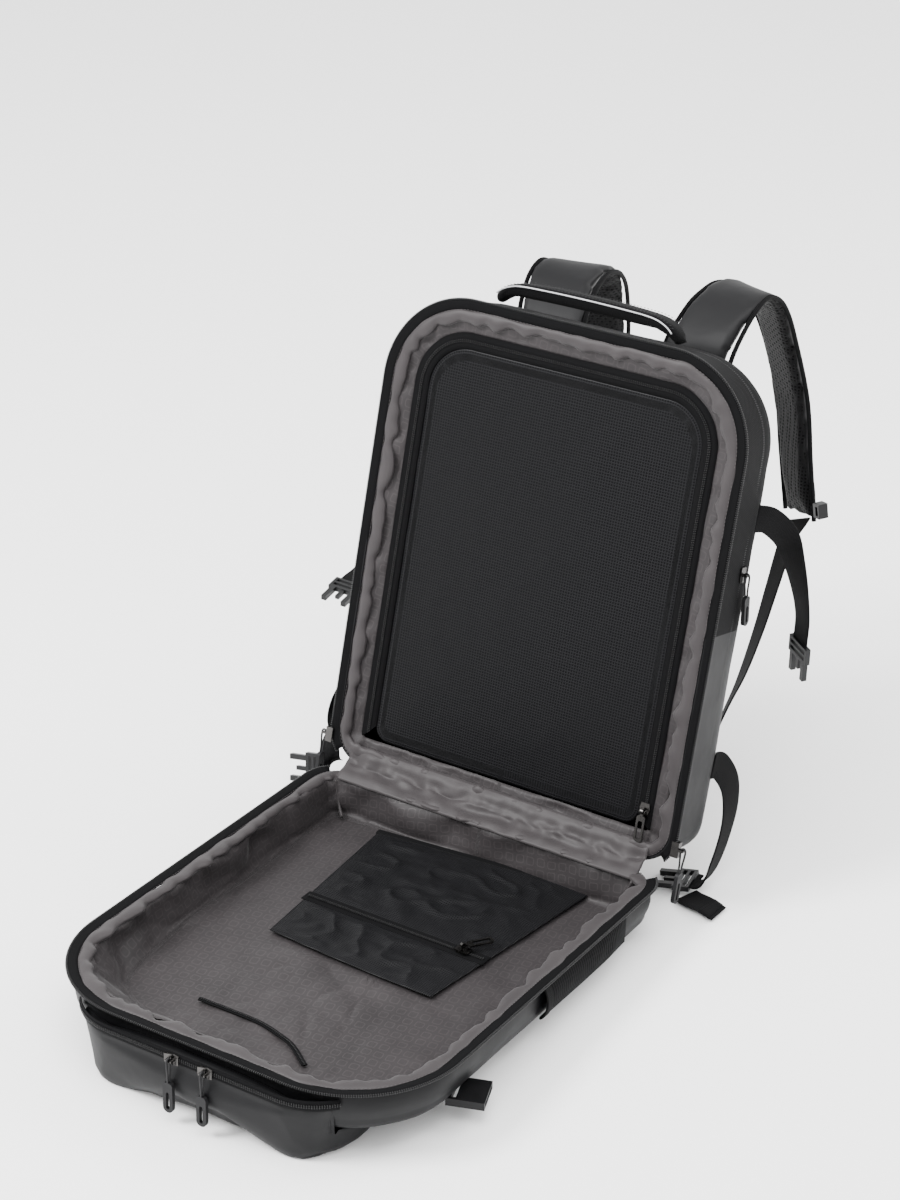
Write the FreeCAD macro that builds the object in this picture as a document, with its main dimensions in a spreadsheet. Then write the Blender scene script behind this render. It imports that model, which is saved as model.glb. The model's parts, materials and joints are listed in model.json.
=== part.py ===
import FreeCAD, Part
import math
import os
import Sketcher
from FreeCAD import Placement, Rotation, Vector

# Travel backpack, opened like a case: the back half stands, leaning back, and the lid lies on the floor.
# World frame: X across the bag, Y from front to back, Z up, origin on the floor under the lid's middle.
# "back" frame: X across, Y up the rim of the back half, Z out of its mouth; origin on the hinge axis.
# "lid" frame: X across, Y towards the hinge, Z out of the lid's mouth; same origin.

SIZES = [
    ("bag_width", 350, "shell width, the same for both halves"),
    ("back_height", 438, "back half, bottom edge to top edge along the rim"),
    ("back_depth", 78, "back half, rim to rear face"),
    ("lid_length", 430, "lid, hinge edge to far edge"),
    ("lid_depth", 42, "lid, rim to outer face"),
    ("lean", 16.3, "back half leans back by this many degrees"),
    ("slope", 2.6, "lid rim rises towards its far end by this many degrees"),
    ("hinge_height", 52, "hinge axis above the floor"),
    ("hinge_back", 250, "hinge axis behind the origin"),
    ("rim_setback", 3, "each rim stays this far from the closing plane"),
    ("rim_start", 4, "each rim starts this far from the hinge axis"),
    ("wall", 4, "padded fabric wall"),
    ("low_radius", 28, "rim corners beside the hinge"),
    ("top_radius", 75, "rim corners at the top of the back half"),
    ("far_radius", 92, "rim corners at the far end of the lid"),
    ("rear_radius", 24, "rounded rear edge of the back half"),
    ("face_radius", 12, "rounded outer edge of the lid"),
    ("seam_height", 212, "seam between the two shell fabrics"),
    ("binding_width", 10, "taped edge round each rim"),
    ("binding_height", 3, "thickness of the taped edge"),
    ("brim_width", 9, "zip tape that stands out round each rim"),
    ("tape", 1, "zip tape thickness"),
    ("coil_width", 2.4, "zip coil across"),
    ("coil_height", 1.8, "closed zip coil above its tape"),
    ("coil_half", 2, "half the width of a closed zip coil"),
    ("tape_half", 7, "half the width of a closed zip's tape"),
    ("strip_inset", 22, "inner edge of the lining strip inside the back rim"),
    ("divider_depth", 6, "divider lies this far below the binding"),
    ("lining", 2, "lining thickness"),
    ("sleeve_depth", 52, "laptop divider, from the rim"),
    ("sleeve_thickness", 4, "laptop divider thickness"),
    ("laptop_zip_depth", 49, "laptop zip, from the hinge plane"),
    ("laptop_zip_low", 90, "lowest point of the laptop zip"),
    ("pad_width", 96, "back panel cushion across"),
    ("pad_height", 330, "back panel cushion, bottom to top"),
    ("pad_thickness", 12, "back panel cushion thickness"),
    ("pad_gap", 40, "air channel between the cushions"),
    ("yoke_width", 236, "shoulder strap yoke across"),
    ("yoke_height", 34, "shoulder strap yoke, bottom to top"),
    ("yoke_thickness", 12, "shoulder strap yoke thickness"),
    ("strap_width", 68, "shoulder strap at the yoke"),
    ("strap_end_width", 54, "shoulder strap at its lower end"),
    ("strap_thickness", 11, "shoulder strap padding"),
    ("strap_x", 75, "shoulder strap root from the middle"),
    ("webbing_width", 25, "webbing across"),
    ("webbing_thickness", 1.6, "webbing thickness"),
    ("handle_span", 176, "carry handle between its roots"),
    ("handle_rise", 24, "carry handle, root to top"),
    ("handle_width", 28, "carry handle grip, front to back"),
    ("handle_thickness", 13, "carry handle grip, bottom to top"),
    ("handle_depth", 30, "carry handle middle, behind the hinge plane"),
    ("pocket_half", 138, "half the width of the front pocket"),
    ("pocket_start", 62, "front pocket starts this far from the hinge"),
    ("pocket_proud", 15, "front pocket stands out past the lid's far end"),
    ("pocket_top", 8, "front pocket's upper edge, below the hinge plane"),
    ("pocket_radius", 55, "front pocket's corners at the lid's far end"),
    ("mesh_left", -104, "mesh pocket's left edge"),
    ("mesh_right", 116, "mesh pocket's right edge"),
    ("mesh_near", 14, "mesh pocket's edge nearest the hinge"),
    ("mesh_far", 236, "mesh pocket's edge farthest from the hinge"),
    ("mesh_zip", 164, "mesh pocket zip from the hinge"),
    ("mesh_height", 4, "mesh pocket's thickness"),
    ("bottle_start", 64, "bottle pocket's closed end from the hinge"),
    ("bottle_end", 205, "bottle pocket's mouth from the hinge"),
    ("bottle_low", 6, "bottle pocket's lower edge above the lid's outer face"),
    ("bottle_high", 34, "bottle pocket's height"),
    ("bottle_depth", 9, "bottle pocket's stretch out from the lid"),
    ("bottle_wall", 2, "bottle pocket fabric"),
    ("buckle_width", 32, "side release buckle across"),
    ("buckle_thickness", 7, "side release buckle thickness"),
    ("buckle_length", 32, "buckle housing length"),
    ("bail_clearance", 3.6, "cord loop's reach round a slider's bar"),
    ("cord_width", 1.8, "pull cord diameter"),
    ("pull_drop", 20, "slider bar to the top of a rubber pull"),
    ("tag_length", 28, "rubber pull length"),
    ("tag_width", 9.5, "rubber pull width"),
    ("tag_thickness", 3.4, "rubber pull thickness"),
    ("metal_pull_length", 28, "metal pull length"),
    ("metal_pull_width", 8.4, "metal pull width"),
    ("metal_pull_thickness", 1.6, "metal pull thickness"),
    ("clearance", 0.4, "running clearance between pieces that move"),
    ("seam_gap", 0.2, "gap between sewn neighbours"),
]

doc = FreeCAD.newDocument("TravelBackpack")
sheet = doc.addObject("Spreadsheet::Sheet", "Sizes")
for row, (alias, value, meaning) in enumerate(SIZES, start=1):
    sheet.set("A%d" % row, alias)
    sheet.set("B%d" % row, str(value))
    sheet.set("C%d" % row, meaning)
    sheet.setAlias("B%d" % row, alias)
doc.recompute()


class Size:
    """A length that knows both its value and the sheet expression it comes from."""

    def __init__(self, text, value):
        self.text = text
        self.value = value

    def __add__(self, other):
        other = as_size(other)
        return Size("(%s + %s)" % (self.text, other.text), self.value + other.value)

    def __radd__(self, other):
        return as_size(other) + self

    def __sub__(self, other):
        other = as_size(other)
        return Size("(%s - %s)" % (self.text, other.text), self.value - other.value)

    def __rsub__(self, other):
        return as_size(other) - self

    def __mul__(self, other):
        other = as_size(other)
        return Size("(%s * %s)" % (self.text, other.text), self.value * other.value)

    def __rmul__(self, other):
        return as_size(other) * self

    def __truediv__(self, other):
        other = as_size(other)
        return Size("(%s / %s)" % (self.text, other.text), self.value / other.value)

    def __neg__(self):
        return Size("(0 - %s)" % self.text, -self.value)

    def at_least(self, other):
        """The larger of two sizes."""
        other = as_size(other)
        return Size("max(%s; %s)" % (self.text, other.text), max(self.value, other.value))


def as_size(number):
    """A plain number as a Size."""
    if isinstance(number, Size):
        return number
    return Size(repr(float(number)), float(number))


class Sheet:
    """Each alias of the sheet as a Size: cell.bag_width."""


cell = Sheet()
for alias, value, meaning in SIZES:
    setattr(cell, alias, Size("Sizes." + alias, float(getattr(sheet, alias))))

PARTS = []

# ---------------------------------------------------------------- frames and placements


def frame_placement(frame):
    """Placement of a frame in the world."""
    if frame == "back":
        turn = Rotation(Vector(1, 0, 0), 90 - cell.lean.value)
        return Placement(Vector(0, cell.hinge_back.value, cell.hinge_height.value), turn)
    if frame == "lid":
        turn = Rotation(Vector(1, 0, 0), -cell.slope.value)
        return Placement(Vector(0, cell.hinge_back.value, cell.hinge_height.value), turn)
    return Placement()


def place(thing, frame):
    """Put a sub-part in its frame, tied to the sheet."""
    thing.Placement = frame_placement(frame)
    if frame in ("back", "lid"):
        angle = "90 - Sizes.lean" if frame == "back" else "-Sizes.slope"
        thing.setExpression("Placement.Base.y", "Sizes.hinge_back")
        thing.setExpression("Placement.Base.z", "Sizes.hinge_height")
        thing.setExpression("Placement.Rotation.Angle", "(%s) * 1 deg" % angle)


def new_body(name, frame):
    """A PartDesign body for one sub-part."""
    body = doc.addObject("PartDesign::Body", name)
    body.Label = name
    place(body, frame)
    PARTS.append(body)
    return body


def add_shape(name, frame, shape):
    """A sub-part whose shape is made with Part's functions in the given frame."""
    thing = doc.addObject("Part::Feature", name)
    thing.Label = name
    thing.Shape = shape
    place(thing, frame)
    PARTS.append(thing)
    return thing


# ---------------------------------------------------------------- sketches


def new_sketch(body, plane, offset, turn=0.0):
    """A sketch on one of the body's origin planes, moved along its normal by a Size."""
    sketch = body.newObject("Sketcher::SketchObject", body.Name + "_sketch")
    support = [f for f in body.Origin.OriginFeatures if f.Role == plane][0]
    sketch.AttachmentSupport = (support, [""])
    sketch.MapMode = "FlatFace"
    offset = as_size(offset)
    sketch.AttachmentOffset = Placement(Vector(0, 0, offset.value), Rotation(Vector(0, 0, 1), turn))
    sketch.setExpression("AttachmentOffset.Base.z", offset.text)
    return sketch


def constrain(sketch, kind, *where_and_size):
    """Add a dimension and bind it to its Size."""
    *where, size = where_and_size
    size = as_size(size)
    index = sketch.addConstraint(Sketcher.Constraint(kind, *where, size.value))
    sketch.setExpression("Constraints[%d]" % index, size.text)


def draw_outline(sketch, left, right, low, high, low_radius, high_radius):
    """A rectangle with round corners: one radius for the low pair and one for the high pair."""
    x0, x1, y0, y1 = left.value, right.value, low.value, high.value
    a, b = low_radius.value, high_radius.value
    corners = [(x1 - a, y0 + a, a, -90), (x1 - b, y1 - b, b, 0),
               (x0 + b, y1 - b, b, 90), (x0 + a, y0 + a, a, 180)]
    ends = [((x0 + a, y0), (x1 - a, y0)), ((x1, y0 + a), (x1, y1 - b)),
            ((x1 - b, y1), (x0 + b, y1)), ((x0, y1 - b), (x0, y0 + a))]
    ids = []
    for (start, end), (cx, cy, radius, turn) in zip(ends, corners):
        line = Part.LineSegment(Vector(*start, 0), Vector(*end, 0))
        circle = Part.Circle(Vector(cx, cy, 0), Vector(0, 0, 1), radius)
        arc = Part.ArcOfCircle(circle, math.radians(turn), math.radians(turn + 90))
        ids.append(sketch.addGeometry(line))
        ids.append(sketch.addGeometry(arc))
    for i in range(8):
        sketch.addConstraint(Sketcher.Constraint("Tangent", ids[i], 2, ids[(i + 1) % 8], 1))
    for index, kind in ((0, "Horizontal"), (2, "Vertical"), (4, "Horizontal"), (6, "Vertical")):
        sketch.addConstraint(Sketcher.Constraint(kind, ids[index]))
    for index, radius in ((1, low_radius), (3, high_radius), (5, high_radius), (7, low_radius)):
        constrain(sketch, "Radius", ids[index], radius)
    constrain(sketch, "DistanceY", -1, 1, ids[0], 1, low)
    constrain(sketch, "DistanceX", -1, 1, ids[2], 1, right)
    constrain(sketch, "DistanceY", -1, 1, ids[4], 1, high)
    constrain(sketch, "DistanceX", -1, 1, ids[6], 1, left)


def draw_polygon(sketch, points):
    """A closed polygon whose corners are pairs of Sizes."""
    points = [(as_size(x), as_size(y)) for x, y in points]
    ids = []
    for (x0, y0), (x1, y1) in zip(points, points[1:] + points[:1]):
        line = Part.LineSegment(Vector(x0.value, y0.value, 0), Vector(x1.value, y1.value, 0))
        ids.append(sketch.addGeometry(line))
    for i in range(len(ids)):
        sketch.addConstraint(Sketcher.Constraint("Coincident", ids[i], 2, ids[(i + 1) % len(ids)], 1))
    for index, (x, y) in zip(ids, points):
        constrain(sketch, "DistanceX", -1, 1, index, 1, x)
        constrain(sketch, "DistanceY", -1, 1, index, 1, y)


def draw_box(sketch, left, right, low, high):
    """An upright rectangle."""
    draw_polygon(sketch, [(left, low), (right, low), (right, high), (left, high)])


# ---------------------------------------------------------------- features


def add_pad(body, sketch, length):
    """Pad a sketch along its normal."""
    sketch.Visibility = False
    pad = body.newObject("PartDesign::Pad", body.Name + "_pad")
    pad.Profile = sketch
    length = as_size(length)
    pad.Length = length.value
    pad.setExpression("Length", length.text)
    return pad


def add_pocket(body, sketch, length):
    """Cut a sketch against its normal, and make sure that it cuts."""
    doc.recompute()
    before = body.Shape.Volume
    sketch.Visibility = False
    pocket = body.newObject("PartDesign::Pocket", body.Name + "_pocket")
    pocket.Profile = sketch
    length = as_size(length)
    pocket.Length = length.value
    pocket.setExpression("Length", length.text)
    doc.recompute()
    if not body.Shape.Volume < before - 1e-6:
        raise RuntimeError("%s: a pocket cuts nothing" % body.Name)
    return pocket


def round_edges(body, base, radius, wanted):
    """Fillet the edges of a feature that the test picks."""
    doc.recompute()
    names = ["Edge%d" % (i + 1) for i, edge in enumerate(base.Shape.Edges) if wanted(edge)]
    fillet = body.newObject("PartDesign::Fillet", body.Name + "_fillet")
    fillet.Base = (base, names)
    radius = as_size(radius)
    fillet.Radius = radius.value
    fillet.setExpression("Radius", radius.text)
    return fillet


def lies_at(z):
    """A test for edges that lie in the plane at this height."""
    return lambda edge: all(abs(v.Point.z - z) < 1e-3 for v in edge.Vertexes)


def slab(body, plane, low, high, draw):
    """Pad between two heights of a plane's normal; draw fills the sketch."""
    sketch = new_sketch(body, plane, low)
    draw(sketch)
    return add_pad(body, sketch, as_size(high) - low)


def cut(body, plane, low, high, draw):
    """Pocket between two heights of a plane's normal."""
    sketch = new_sketch(body, plane, high)
    draw(sketch)
    return add_pocket(body, sketch, as_size(high) - low)


# ---------------------------------------------------------------- outlines of the two halves


def inset_radius(radius, grow):
    """Corner radius of a grown outline, kept above a small round corner."""
    return (radius + grow).at_least(3)


def back_outline(sketch, grow):
    """Rim of the back half, grown outwards by a Size."""
    grow = as_size(grow)
    half = cell.bag_width / 2 + grow
    low = cell.rim_start - grow
    high = cell.rim_start + cell.back_height + grow
    low_radius, high_radius = inset_radius(cell.low_radius, grow), inset_radius(cell.top_radius, grow)
    draw_outline(sketch, -half, half, low, high, low_radius, high_radius)


def lid_outline(sketch, grow):
    """Rim of the lid, grown outwards by a Size; its hinge edge is the high one."""
    grow = as_size(grow)
    half = cell.bag_width / 2 + grow
    low = -(cell.rim_start + cell.lid_length) - grow
    high = grow - cell.rim_start
    low_radius, high_radius = inset_radius(cell.far_radius, grow), inset_radius(cell.low_radius, grow)
    draw_outline(sketch, -half, half, low, high, low_radius, high_radius)


def ring(body, outline, outer, inner, low, high):
    """A ring between two growths of an outline."""
    def draw(sketch):
        outline(sketch, outer)
        outline(sketch, inner)
    return slab(body, "XY_Plane", low, high, draw)


def cut_box(body, low, high, left, right, near, far):
    """Remove a box; low and high are along Z, near and far along Y."""
    return cut(body, "XY_Plane", low, high, lambda s: draw_box(s, left, right, near, far))


# Heights below each closing plane, shared by both halves.
RIM = -cell.rim_setback
SHELL_TOP = RIM - cell.binding_height
HALF = cell.bag_width / 2
COIL_MIDDLE = RIM - 0.4
OUTSIDE = HALF + 60

# ---------------------------------------------------------------- the two shells


def back_shell(name, keep_top):
    """One fabric of the back half's tray: above or below the seam."""
    body = new_body(name, "back")
    rear = RIM - cell.back_depth
    pad = slab(body, "XY_Plane", rear, SHELL_TOP, lambda s: back_outline(s, 0))
    round_edges(body, pad, cell.rear_radius, lies_at(rear.value))
    cut(body, "XY_Plane", rear + cell.wall, SHELL_TOP, lambda s: back_outline(s, -cell.wall))
    if keep_top:
        near, far = as_size(-20), cell.seam_height
    else:
        near, far = cell.seam_height - cell.seam_gap, cell.back_height + 40
    cut_box(body, rear - 5, SHELL_TOP + 5, -OUTSIDE, OUTSIDE, near, far)


def lid_shell():
    """Outer fabric tray of the lid."""
    body = new_body("lid_shell", "lid")
    face = RIM - cell.lid_depth
    pad = slab(body, "XY_Plane", face, SHELL_TOP, lambda s: lid_outline(s, 0))
    round_edges(body, pad, cell.face_radius, lies_at(face.value))
    cut(body, "XY_Plane", face + cell.wall, SHELL_TOP, lambda s: lid_outline(s, -cell.wall))


def lid_lining():
    """Lining tray inside the lid."""
    body = new_body("lid_lining", "lid")
    outer = cell.wall + cell.seam_gap
    floor = RIM - cell.lid_depth + outer
    top = SHELL_TOP - 2
    slab(body, "XY_Plane", floor, top, lambda s: lid_outline(s, -outer))
    cut(body, "XY_Plane", floor + cell.lining, top, lambda s: lid_outline(s, -outer - cell.lining))


def rim_pieces(half, outline):
    """Taped edge and outstanding zip tape with its coil, round one half's rim."""
    binding = new_body("%s_binding" % half, half)
    ring(binding, outline, 0, -cell.binding_width, SHELL_TOP, RIM)
    brim = new_body("main_zip_%s" % half, half)
    middle = COIL_MIDDLE
    ring(brim, outline, cell.brim_width, cell.seam_gap, middle - cell.tape / 2, middle + cell.tape / 2)
    coil_outer = cell.brim_width + 0.4
    ring(brim, outline, coil_outer, coil_outer - cell.coil_width,
         middle - cell.coil_width / 2, middle + cell.coil_width / 2)
    stop = cell.rim_start + cell.low_radius * 0.25
    near, far = (as_size(-30), stop) if half == "back" else (-stop, as_size(30))
    cut_box(brim, middle - 5, middle + 5, -OUTSIDE, OUTSIDE, near, far)


# ---------------------------------------------------------------- inside the back half

DIVIDER_TOP = SHELL_TOP - cell.divider_depth + cell.binding_height


def back_lining():
    """Lining strip between the rim and the divider."""
    body = new_body("back_lining", "back")
    ring(body, back_outline, -cell.wall - cell.seam_gap, -cell.strip_inset,
         DIVIDER_TOP - cell.lining, DIVIDER_TOP)


def divider_zip():
    """Zip round three sides of the divider: flat tape with the closed coil on it."""
    body = new_body("divider_zip", "back")
    outer = cell.strip_inset + cell.seam_gap
    width = cell.tape_half * 2
    middle = outer + cell.tape_half
    low = DIVIDER_TOP - cell.tape
    ring(body, back_outline, -outer, -outer - width, low, DIVIDER_TOP)
    ring(body, back_outline, cell.coil_half - middle, -middle - cell.coil_half,
         DIVIDER_TOP, DIVIDER_TOP + cell.coil_height)
    stop = cell.rim_start + outer + width + 3
    cut_box(body, low - 2, DIVIDER_TOP + 5, -OUTSIDE, OUTSIDE, as_size(-20), stop)


def divider_mesh():
    """Mesh panel that closes the packing space."""
    body = new_body("divider_mesh", "back")
    inset = cell.strip_inset + cell.tape_half * 2 + cell.seam_gap * 2
    low = DIVIDER_TOP - cell.tape
    slab(body, "XY_Plane", low, DIVIDER_TOP, lambda s: back_outline(s, -inset))
    near = cell.rim_start + cell.strip_inset + cell.seam_gap
    half = HALF - inset
    slab(body, "XY_Plane", low, DIVIDER_TOP,
         lambda s: draw_box(s, -half, half, near, cell.top_radius + near))


def laptop_sleeve():
    """Padded divider in front of the laptop space."""
    body = new_body("laptop_sleeve", "back")
    top = RIM - cell.sleeve_depth
    inset = cell.wall + cell.seam_gap
    slab(body, "XY_Plane", top - cell.sleeve_thickness, top, lambda s: back_outline(s, -inset))


def laptop_zip():
    """Zip over the top of the laptop space, on the shell's outside."""
    body = new_body("laptop_zip", "back")
    middle = -cell.laptop_zip_depth
    ring(body, back_outline, cell.tape, cell.seam_gap, middle - cell.tape_half, middle + cell.tape_half)
    ring(body, back_outline, cell.tape + cell.coil_height, cell.tape,
         middle - cell.coil_half, middle + cell.coil_half)
    cut_box(body, middle - 12, middle + 12, -OUTSIDE, OUTSIDE, as_size(-30), cell.laptop_zip_low)


# ---------------------------------------------------------------- back panel, yoke and hinge


def back_pads():
    """Two cushions of the back panel, with an air channel between them."""
    cushions = []
    for side in (-1, 1):
        box = doc.addObject("Part::Box", "back_pad_box")
        box.setExpression("Length", cell.pad_width.text)
        box.setExpression("Width", cell.pad_height.text)
        box.setExpression("Height", cell.pad_thickness.text)
        left = cell.pad_gap / 2 if side > 0 else -cell.pad_gap / 2 - cell.pad_width
        low = cell.rim_start + cell.rear_radius
        base = RIM - cell.back_depth - cell.pad_thickness - cell.seam_gap
        for axis, size in (("x", left), ("y", low), ("z", base)):
            box.setExpression("Placement.Base.%s" % axis, size.text)
        doc.recompute()
        fillet = doc.addObject("Part::Fillet", "back_pad")
        fillet.Base = box
        upright = [i + 1 for i, e in enumerate(box.Shape.Edges)
                   if abs(e.Vertexes[0].Point.z - e.Vertexes[1].Point.z) > 1]
        fillet.Edges = [(index, 18.0, 18.0) for index in upright]
        cushions.append(fillet)
    group = doc.addObject("Part::Compound", "back_pads")
    group.Links = cushions
    group.Label = "back_pads"
    place(group, "back")
    PARTS.append(group)


YOKE_REAR = RIM - cell.back_depth - cell.seam_gap - cell.yoke_thickness
YOKE_LOW = cell.rim_start + cell.back_height - cell.rear_radius - cell.yoke_height


def shoulder_yoke():
    """Panel that the shoulder straps are sewn to."""
    body = new_body("shoulder_yoke", "back")
    half = cell.yoke_width / 2
    top = RIM - cell.back_depth - cell.seam_gap
    pad = slab(body, "XY_Plane", YOKE_REAR, top,
               lambda s: draw_box(s, -half, half, YOKE_LOW, YOKE_LOW + cell.yoke_height))
    round_edges(body, pad, 4, lies_at(YOKE_REAR.value))


def hinge_gusset():
    """Rolled fabric seam on the hinge axis."""
    rod = doc.addObject("Part::Cylinder", "hinge_gusset")
    rod.Label = "hinge_gusset"
    rod.setExpression("Radius", (cell.rim_start - cell.clearance).text)
    rod.setExpression("Height", (cell.bag_width - cell.low_radius * 2).text)
    rod.Placement = Placement(Vector(0, 0, 0), Rotation(Vector(0, 1, 0), 90))
    rod.setExpression("Placement.Base.x", (cell.low_radius - HALF).text)
    rod.setExpression("Placement.Base.y", "Sizes.hinge_back")
    rod.setExpression("Placement.Base.z", "Sizes.hinge_height")
    PARTS.append(rod)


# ---------------------------------------------------------------- carry handle

HANDLE_ROOT = cell.rim_start + cell.back_height + cell.clearance + 6


def handle():
    """Arched grip on two round roots, and the piping along it."""
    span, rise, thick = cell.handle_span / 2, cell.handle_rise, cell.handle_thickness
    grip = new_body("handle_grip", "back")
    back = -cell.handle_depth - cell.handle_width / 2
    front = -cell.handle_depth + cell.handle_width / 2

    def arch(sketch):
        outer = [(-span - 6, HANDLE_ROOT + 6), (-span + 8, HANDLE_ROOT + rise - 3),
                 (-span + 30, HANDLE_ROOT + rise), (span - 30, HANDLE_ROOT + rise),
                 (span - 8, HANDLE_ROOT + rise - 3), (span + 6, HANDLE_ROOT + 6)]
        inner = [(span - 8, HANDLE_ROOT + 6), (span - 22, HANDLE_ROOT + rise - thick),
                 (22 - span, HANDLE_ROOT + rise - thick), (8 - span, HANDLE_ROOT + 6)]
        draw_polygon(sketch, outer + inner)
    slab(grip, "XY_Plane", back, front, arch)
    for side in (-1, 1):
        left = span * side - 6
        slab(grip, "XY_Plane", -cell.handle_depth - 6, -cell.handle_depth + 6,
             lambda s, left=left: draw_box(s, left, left + 12, HANDLE_ROOT, HANDLE_ROOT + 7))
        slab(grip, "YZ_Plane", left, left + 12,
             lambda s: draw_circle(s, HANDLE_ROOT, -cell.handle_depth, 6))
    piping = new_body("handle_piping", "back")
    middle = -cell.handle_depth + cell.handle_width / 2 + 0.8
    top = HANDLE_ROOT + rise
    slab(piping, "XY_Plane", middle - 0.75, middle + 0.75,
         lambda s: draw_box(s, 30 - span, span - 30, top - 3, top - 1.5))


def draw_circle(sketch, x, y, radius):
    """A circle with its centre at two Sizes."""
    x, y, radius = as_size(x), as_size(y), as_size(radius)
    circle = Part.Circle(Vector(x.value, y.value, 0), Vector(0, 0, 1), radius.value)
    index = sketch.addGeometry(circle)
    constrain(sketch, "DistanceX", -1, 1, index, 3, x)
    constrain(sketch, "DistanceY", -1, 1, index, 3, y)
    constrain(sketch, "Radius", index, radius)


# ---------------------------------------------------------------- ribbons: straps and webbing


def ribbon(stations, thickness):
    """A flat band through stations of (centre, width direction, width), thick on both sides."""
    sections = []
    last = len(stations) - 1
    for i, (centre, across, width) in enumerate(stations):
        before = stations[max(i - 1, 0)][0]
        after = stations[min(i + 1, last)][0]
        along = (after - before).normalize()
        side = (across - along * across.dot(along)).normalize()
        normal = along.cross(side)
        w, n = side * (width / 2), normal * (thickness / 2)
        corners = [centre - w - n, centre + w - n, centre + w + n, centre - w + n]
        sections.append(Part.makePolygon(corners + corners[:1]))
    band = Part.makeLoft(sections, True, True)
    if band.Volume < 0:
        band.reverse()
    return band


def mirrored(points, side):
    """Points of the right-hand side, mirrored for the left one."""
    return [Vector(p[0] * side, p[1], p[2]) for p in points]


# Centre line of the right shoulder strap in the back frame: up from the yoke, over, and down behind the bag.
STRAP_RISE = [(0, 22, -1), (3, 44, -9), (7, 68, -26), (10, 80, -50), (14, 72, -84), (20, 42, -118)]
STRAP_DROP = [(29, -18, -156), (39, -75, -168), (49, -132, -180)]
STRAP_TWIST = [0, 0, -4, -10, -20, -28, -34, -34, -34, -34]
STRAP_ROOT = Vector(cell.strap_x.value, (YOKE_LOW + cell.yoke_height * 0.8).value,
                    YOKE_REAR.value - 0.6 - cell.strap_thickness.value / 2)


def strap_points(side=1):
    """A shoulder strap's centre line in the back frame, drawn as the right one; the left arches less."""
    rise = 1.0 if side > 0 else 0.84
    arch = [STRAP_ROOT + Vector(x, y * rise, z) for x, y, z in STRAP_RISE]
    return [STRAP_ROOT] + arch + [STRAP_ROOT + Vector(*p) for p in STRAP_DROP]


def shoulder_strap(name, side):
    """Padded strap: full width at the yoke, narrower and turned outwards lower down."""
    points = mirrored(strap_points(side), side)
    widths = [cell.strap_width.value] * 4
    steps = len(points) - len(widths)
    drop = (cell.strap_width.value - cell.strap_end_width.value) / steps
    widths += [cell.strap_width.value - drop * (i + 1) for i in range(steps)]
    stations = []
    for point, width, twist in zip(points, widths, STRAP_TWIST):
        turn = math.radians(twist)
        across = Vector(math.cos(turn) * side, 0, -math.sin(turn))
        stations.append((point, across, width))
    add_shape(name, "back", ribbon(stations, cell.strap_thickness.value))


# Webbing from the strap's end to the rear bottom corner of the bag, relative to the strap's end.
SHOULDER_WEBBING = [(1, -4, 0), (3, -24, 26), (10, -60, 56), (17, -98, 86), (25, -134, 124),
                    (31, -158, 160), (34, -184, 186)]


def shoulder_webbing(name, side):
    """Webbing below one shoulder strap."""
    end = strap_points()[-1]
    points = mirrored([end + Vector(*p) for p in SHOULDER_WEBBING], side)
    start_across = Vector(0.83 * side, 0, 0.56)
    end_across = Vector(0.35 * side, 0.85, 0.4)
    stations = []
    for i, point in enumerate(points):
        share = i / (len(points) - 1)
        stations.append((point, start_across * (1 - share) + end_across * share, cell.webbing_width.value))
    band = ribbon(stations, cell.webbing_thickness.value)
    add_shape(name, "back", band)


def sternum_slider(name, side):
    """Clip that slides on the straight lower part of a shoulder strap's outer edge."""
    points = strap_points()
    top, end = points[-3], points[-1]
    along = (end - top).normalize()
    turn = math.radians(STRAP_TWIST[-1])
    across = Vector(math.cos(turn), 0, -math.sin(turn))
    across = (across - along * across.dot(along)).normalize()
    normal = along.cross(across)
    reach = cell.strap_width.value / 2 + cell.clearance.value * 2
    centre = end - along * 14 + across * (reach + 5)
    box = Part.makeBox(14, 10, 10, Vector(-7, -5, -5))
    slot = Part.makeBox(9, 4, 12, Vector(-4.5, -1, -6))
    clip = box.cut(slot)
    matrix = FreeCAD.Matrix(along.x, across.x, normal.x, centre.x, along.y, across.y, normal.y, centre.y,
                            along.z, across.z, normal.z, centre.z, 0, 0, 0, 1)
    clip = clip.transformGeometry(matrix)
    if side < 0:
        clip = clip.mirror(Vector(0, 0, 0), Vector(1, 0, 0))
    add_shape(name, "back", clip)


# ---------------------------------------------------------------- compression straps and buckles

# Each strap hangs as it was left: its centre line from the side seam, outwards from the shell's side,
# up the rim and out of the mouth, then the direction across its end.
STRAP_ROUTES = {
    "upper_right": ([(1.8, 313, -60), (9, 311, -74), (16, 297, -96), (19, 274, -116), (20, 243, -141),
                     (20, 214, -160), (19, 190, -168)], (0.8, 0, 0.6)),
    "upper_left": ([(2.6, 313, -60), (7, 312, -70), (12, 302, -84), (22, 272, -104), (36, 226, -118),
                    (48, 182, -115), (55, 156, -98), (53, 147, -74)], (0.9, 0.2, -0.3)),
    "lower_right": ([(2.2, 86, -64), (5, 84, -74), (11, 66, -88), (14, 40, -92), (14, 12, -88),
                     (12, -12, -80), (8, -24, -72), (1, -25.3, -71)], (0, 0.28, -0.96)),
    "lower_left": ([(2, 86, -68), (10, 74, -50), (17, 52, -30), (18, 24, -19), (13, -4, -16),
                    (14, -20, -18), (22, -21.5, -18.5)], (0, 1, 0)),
}

# The lower right strap's spare end lies on the floor, past its buckle.
SPARE_END = [(3, -35, -55), (12, -35, -51), (28, -34.5, -46), (41, -38, -46)]


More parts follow.
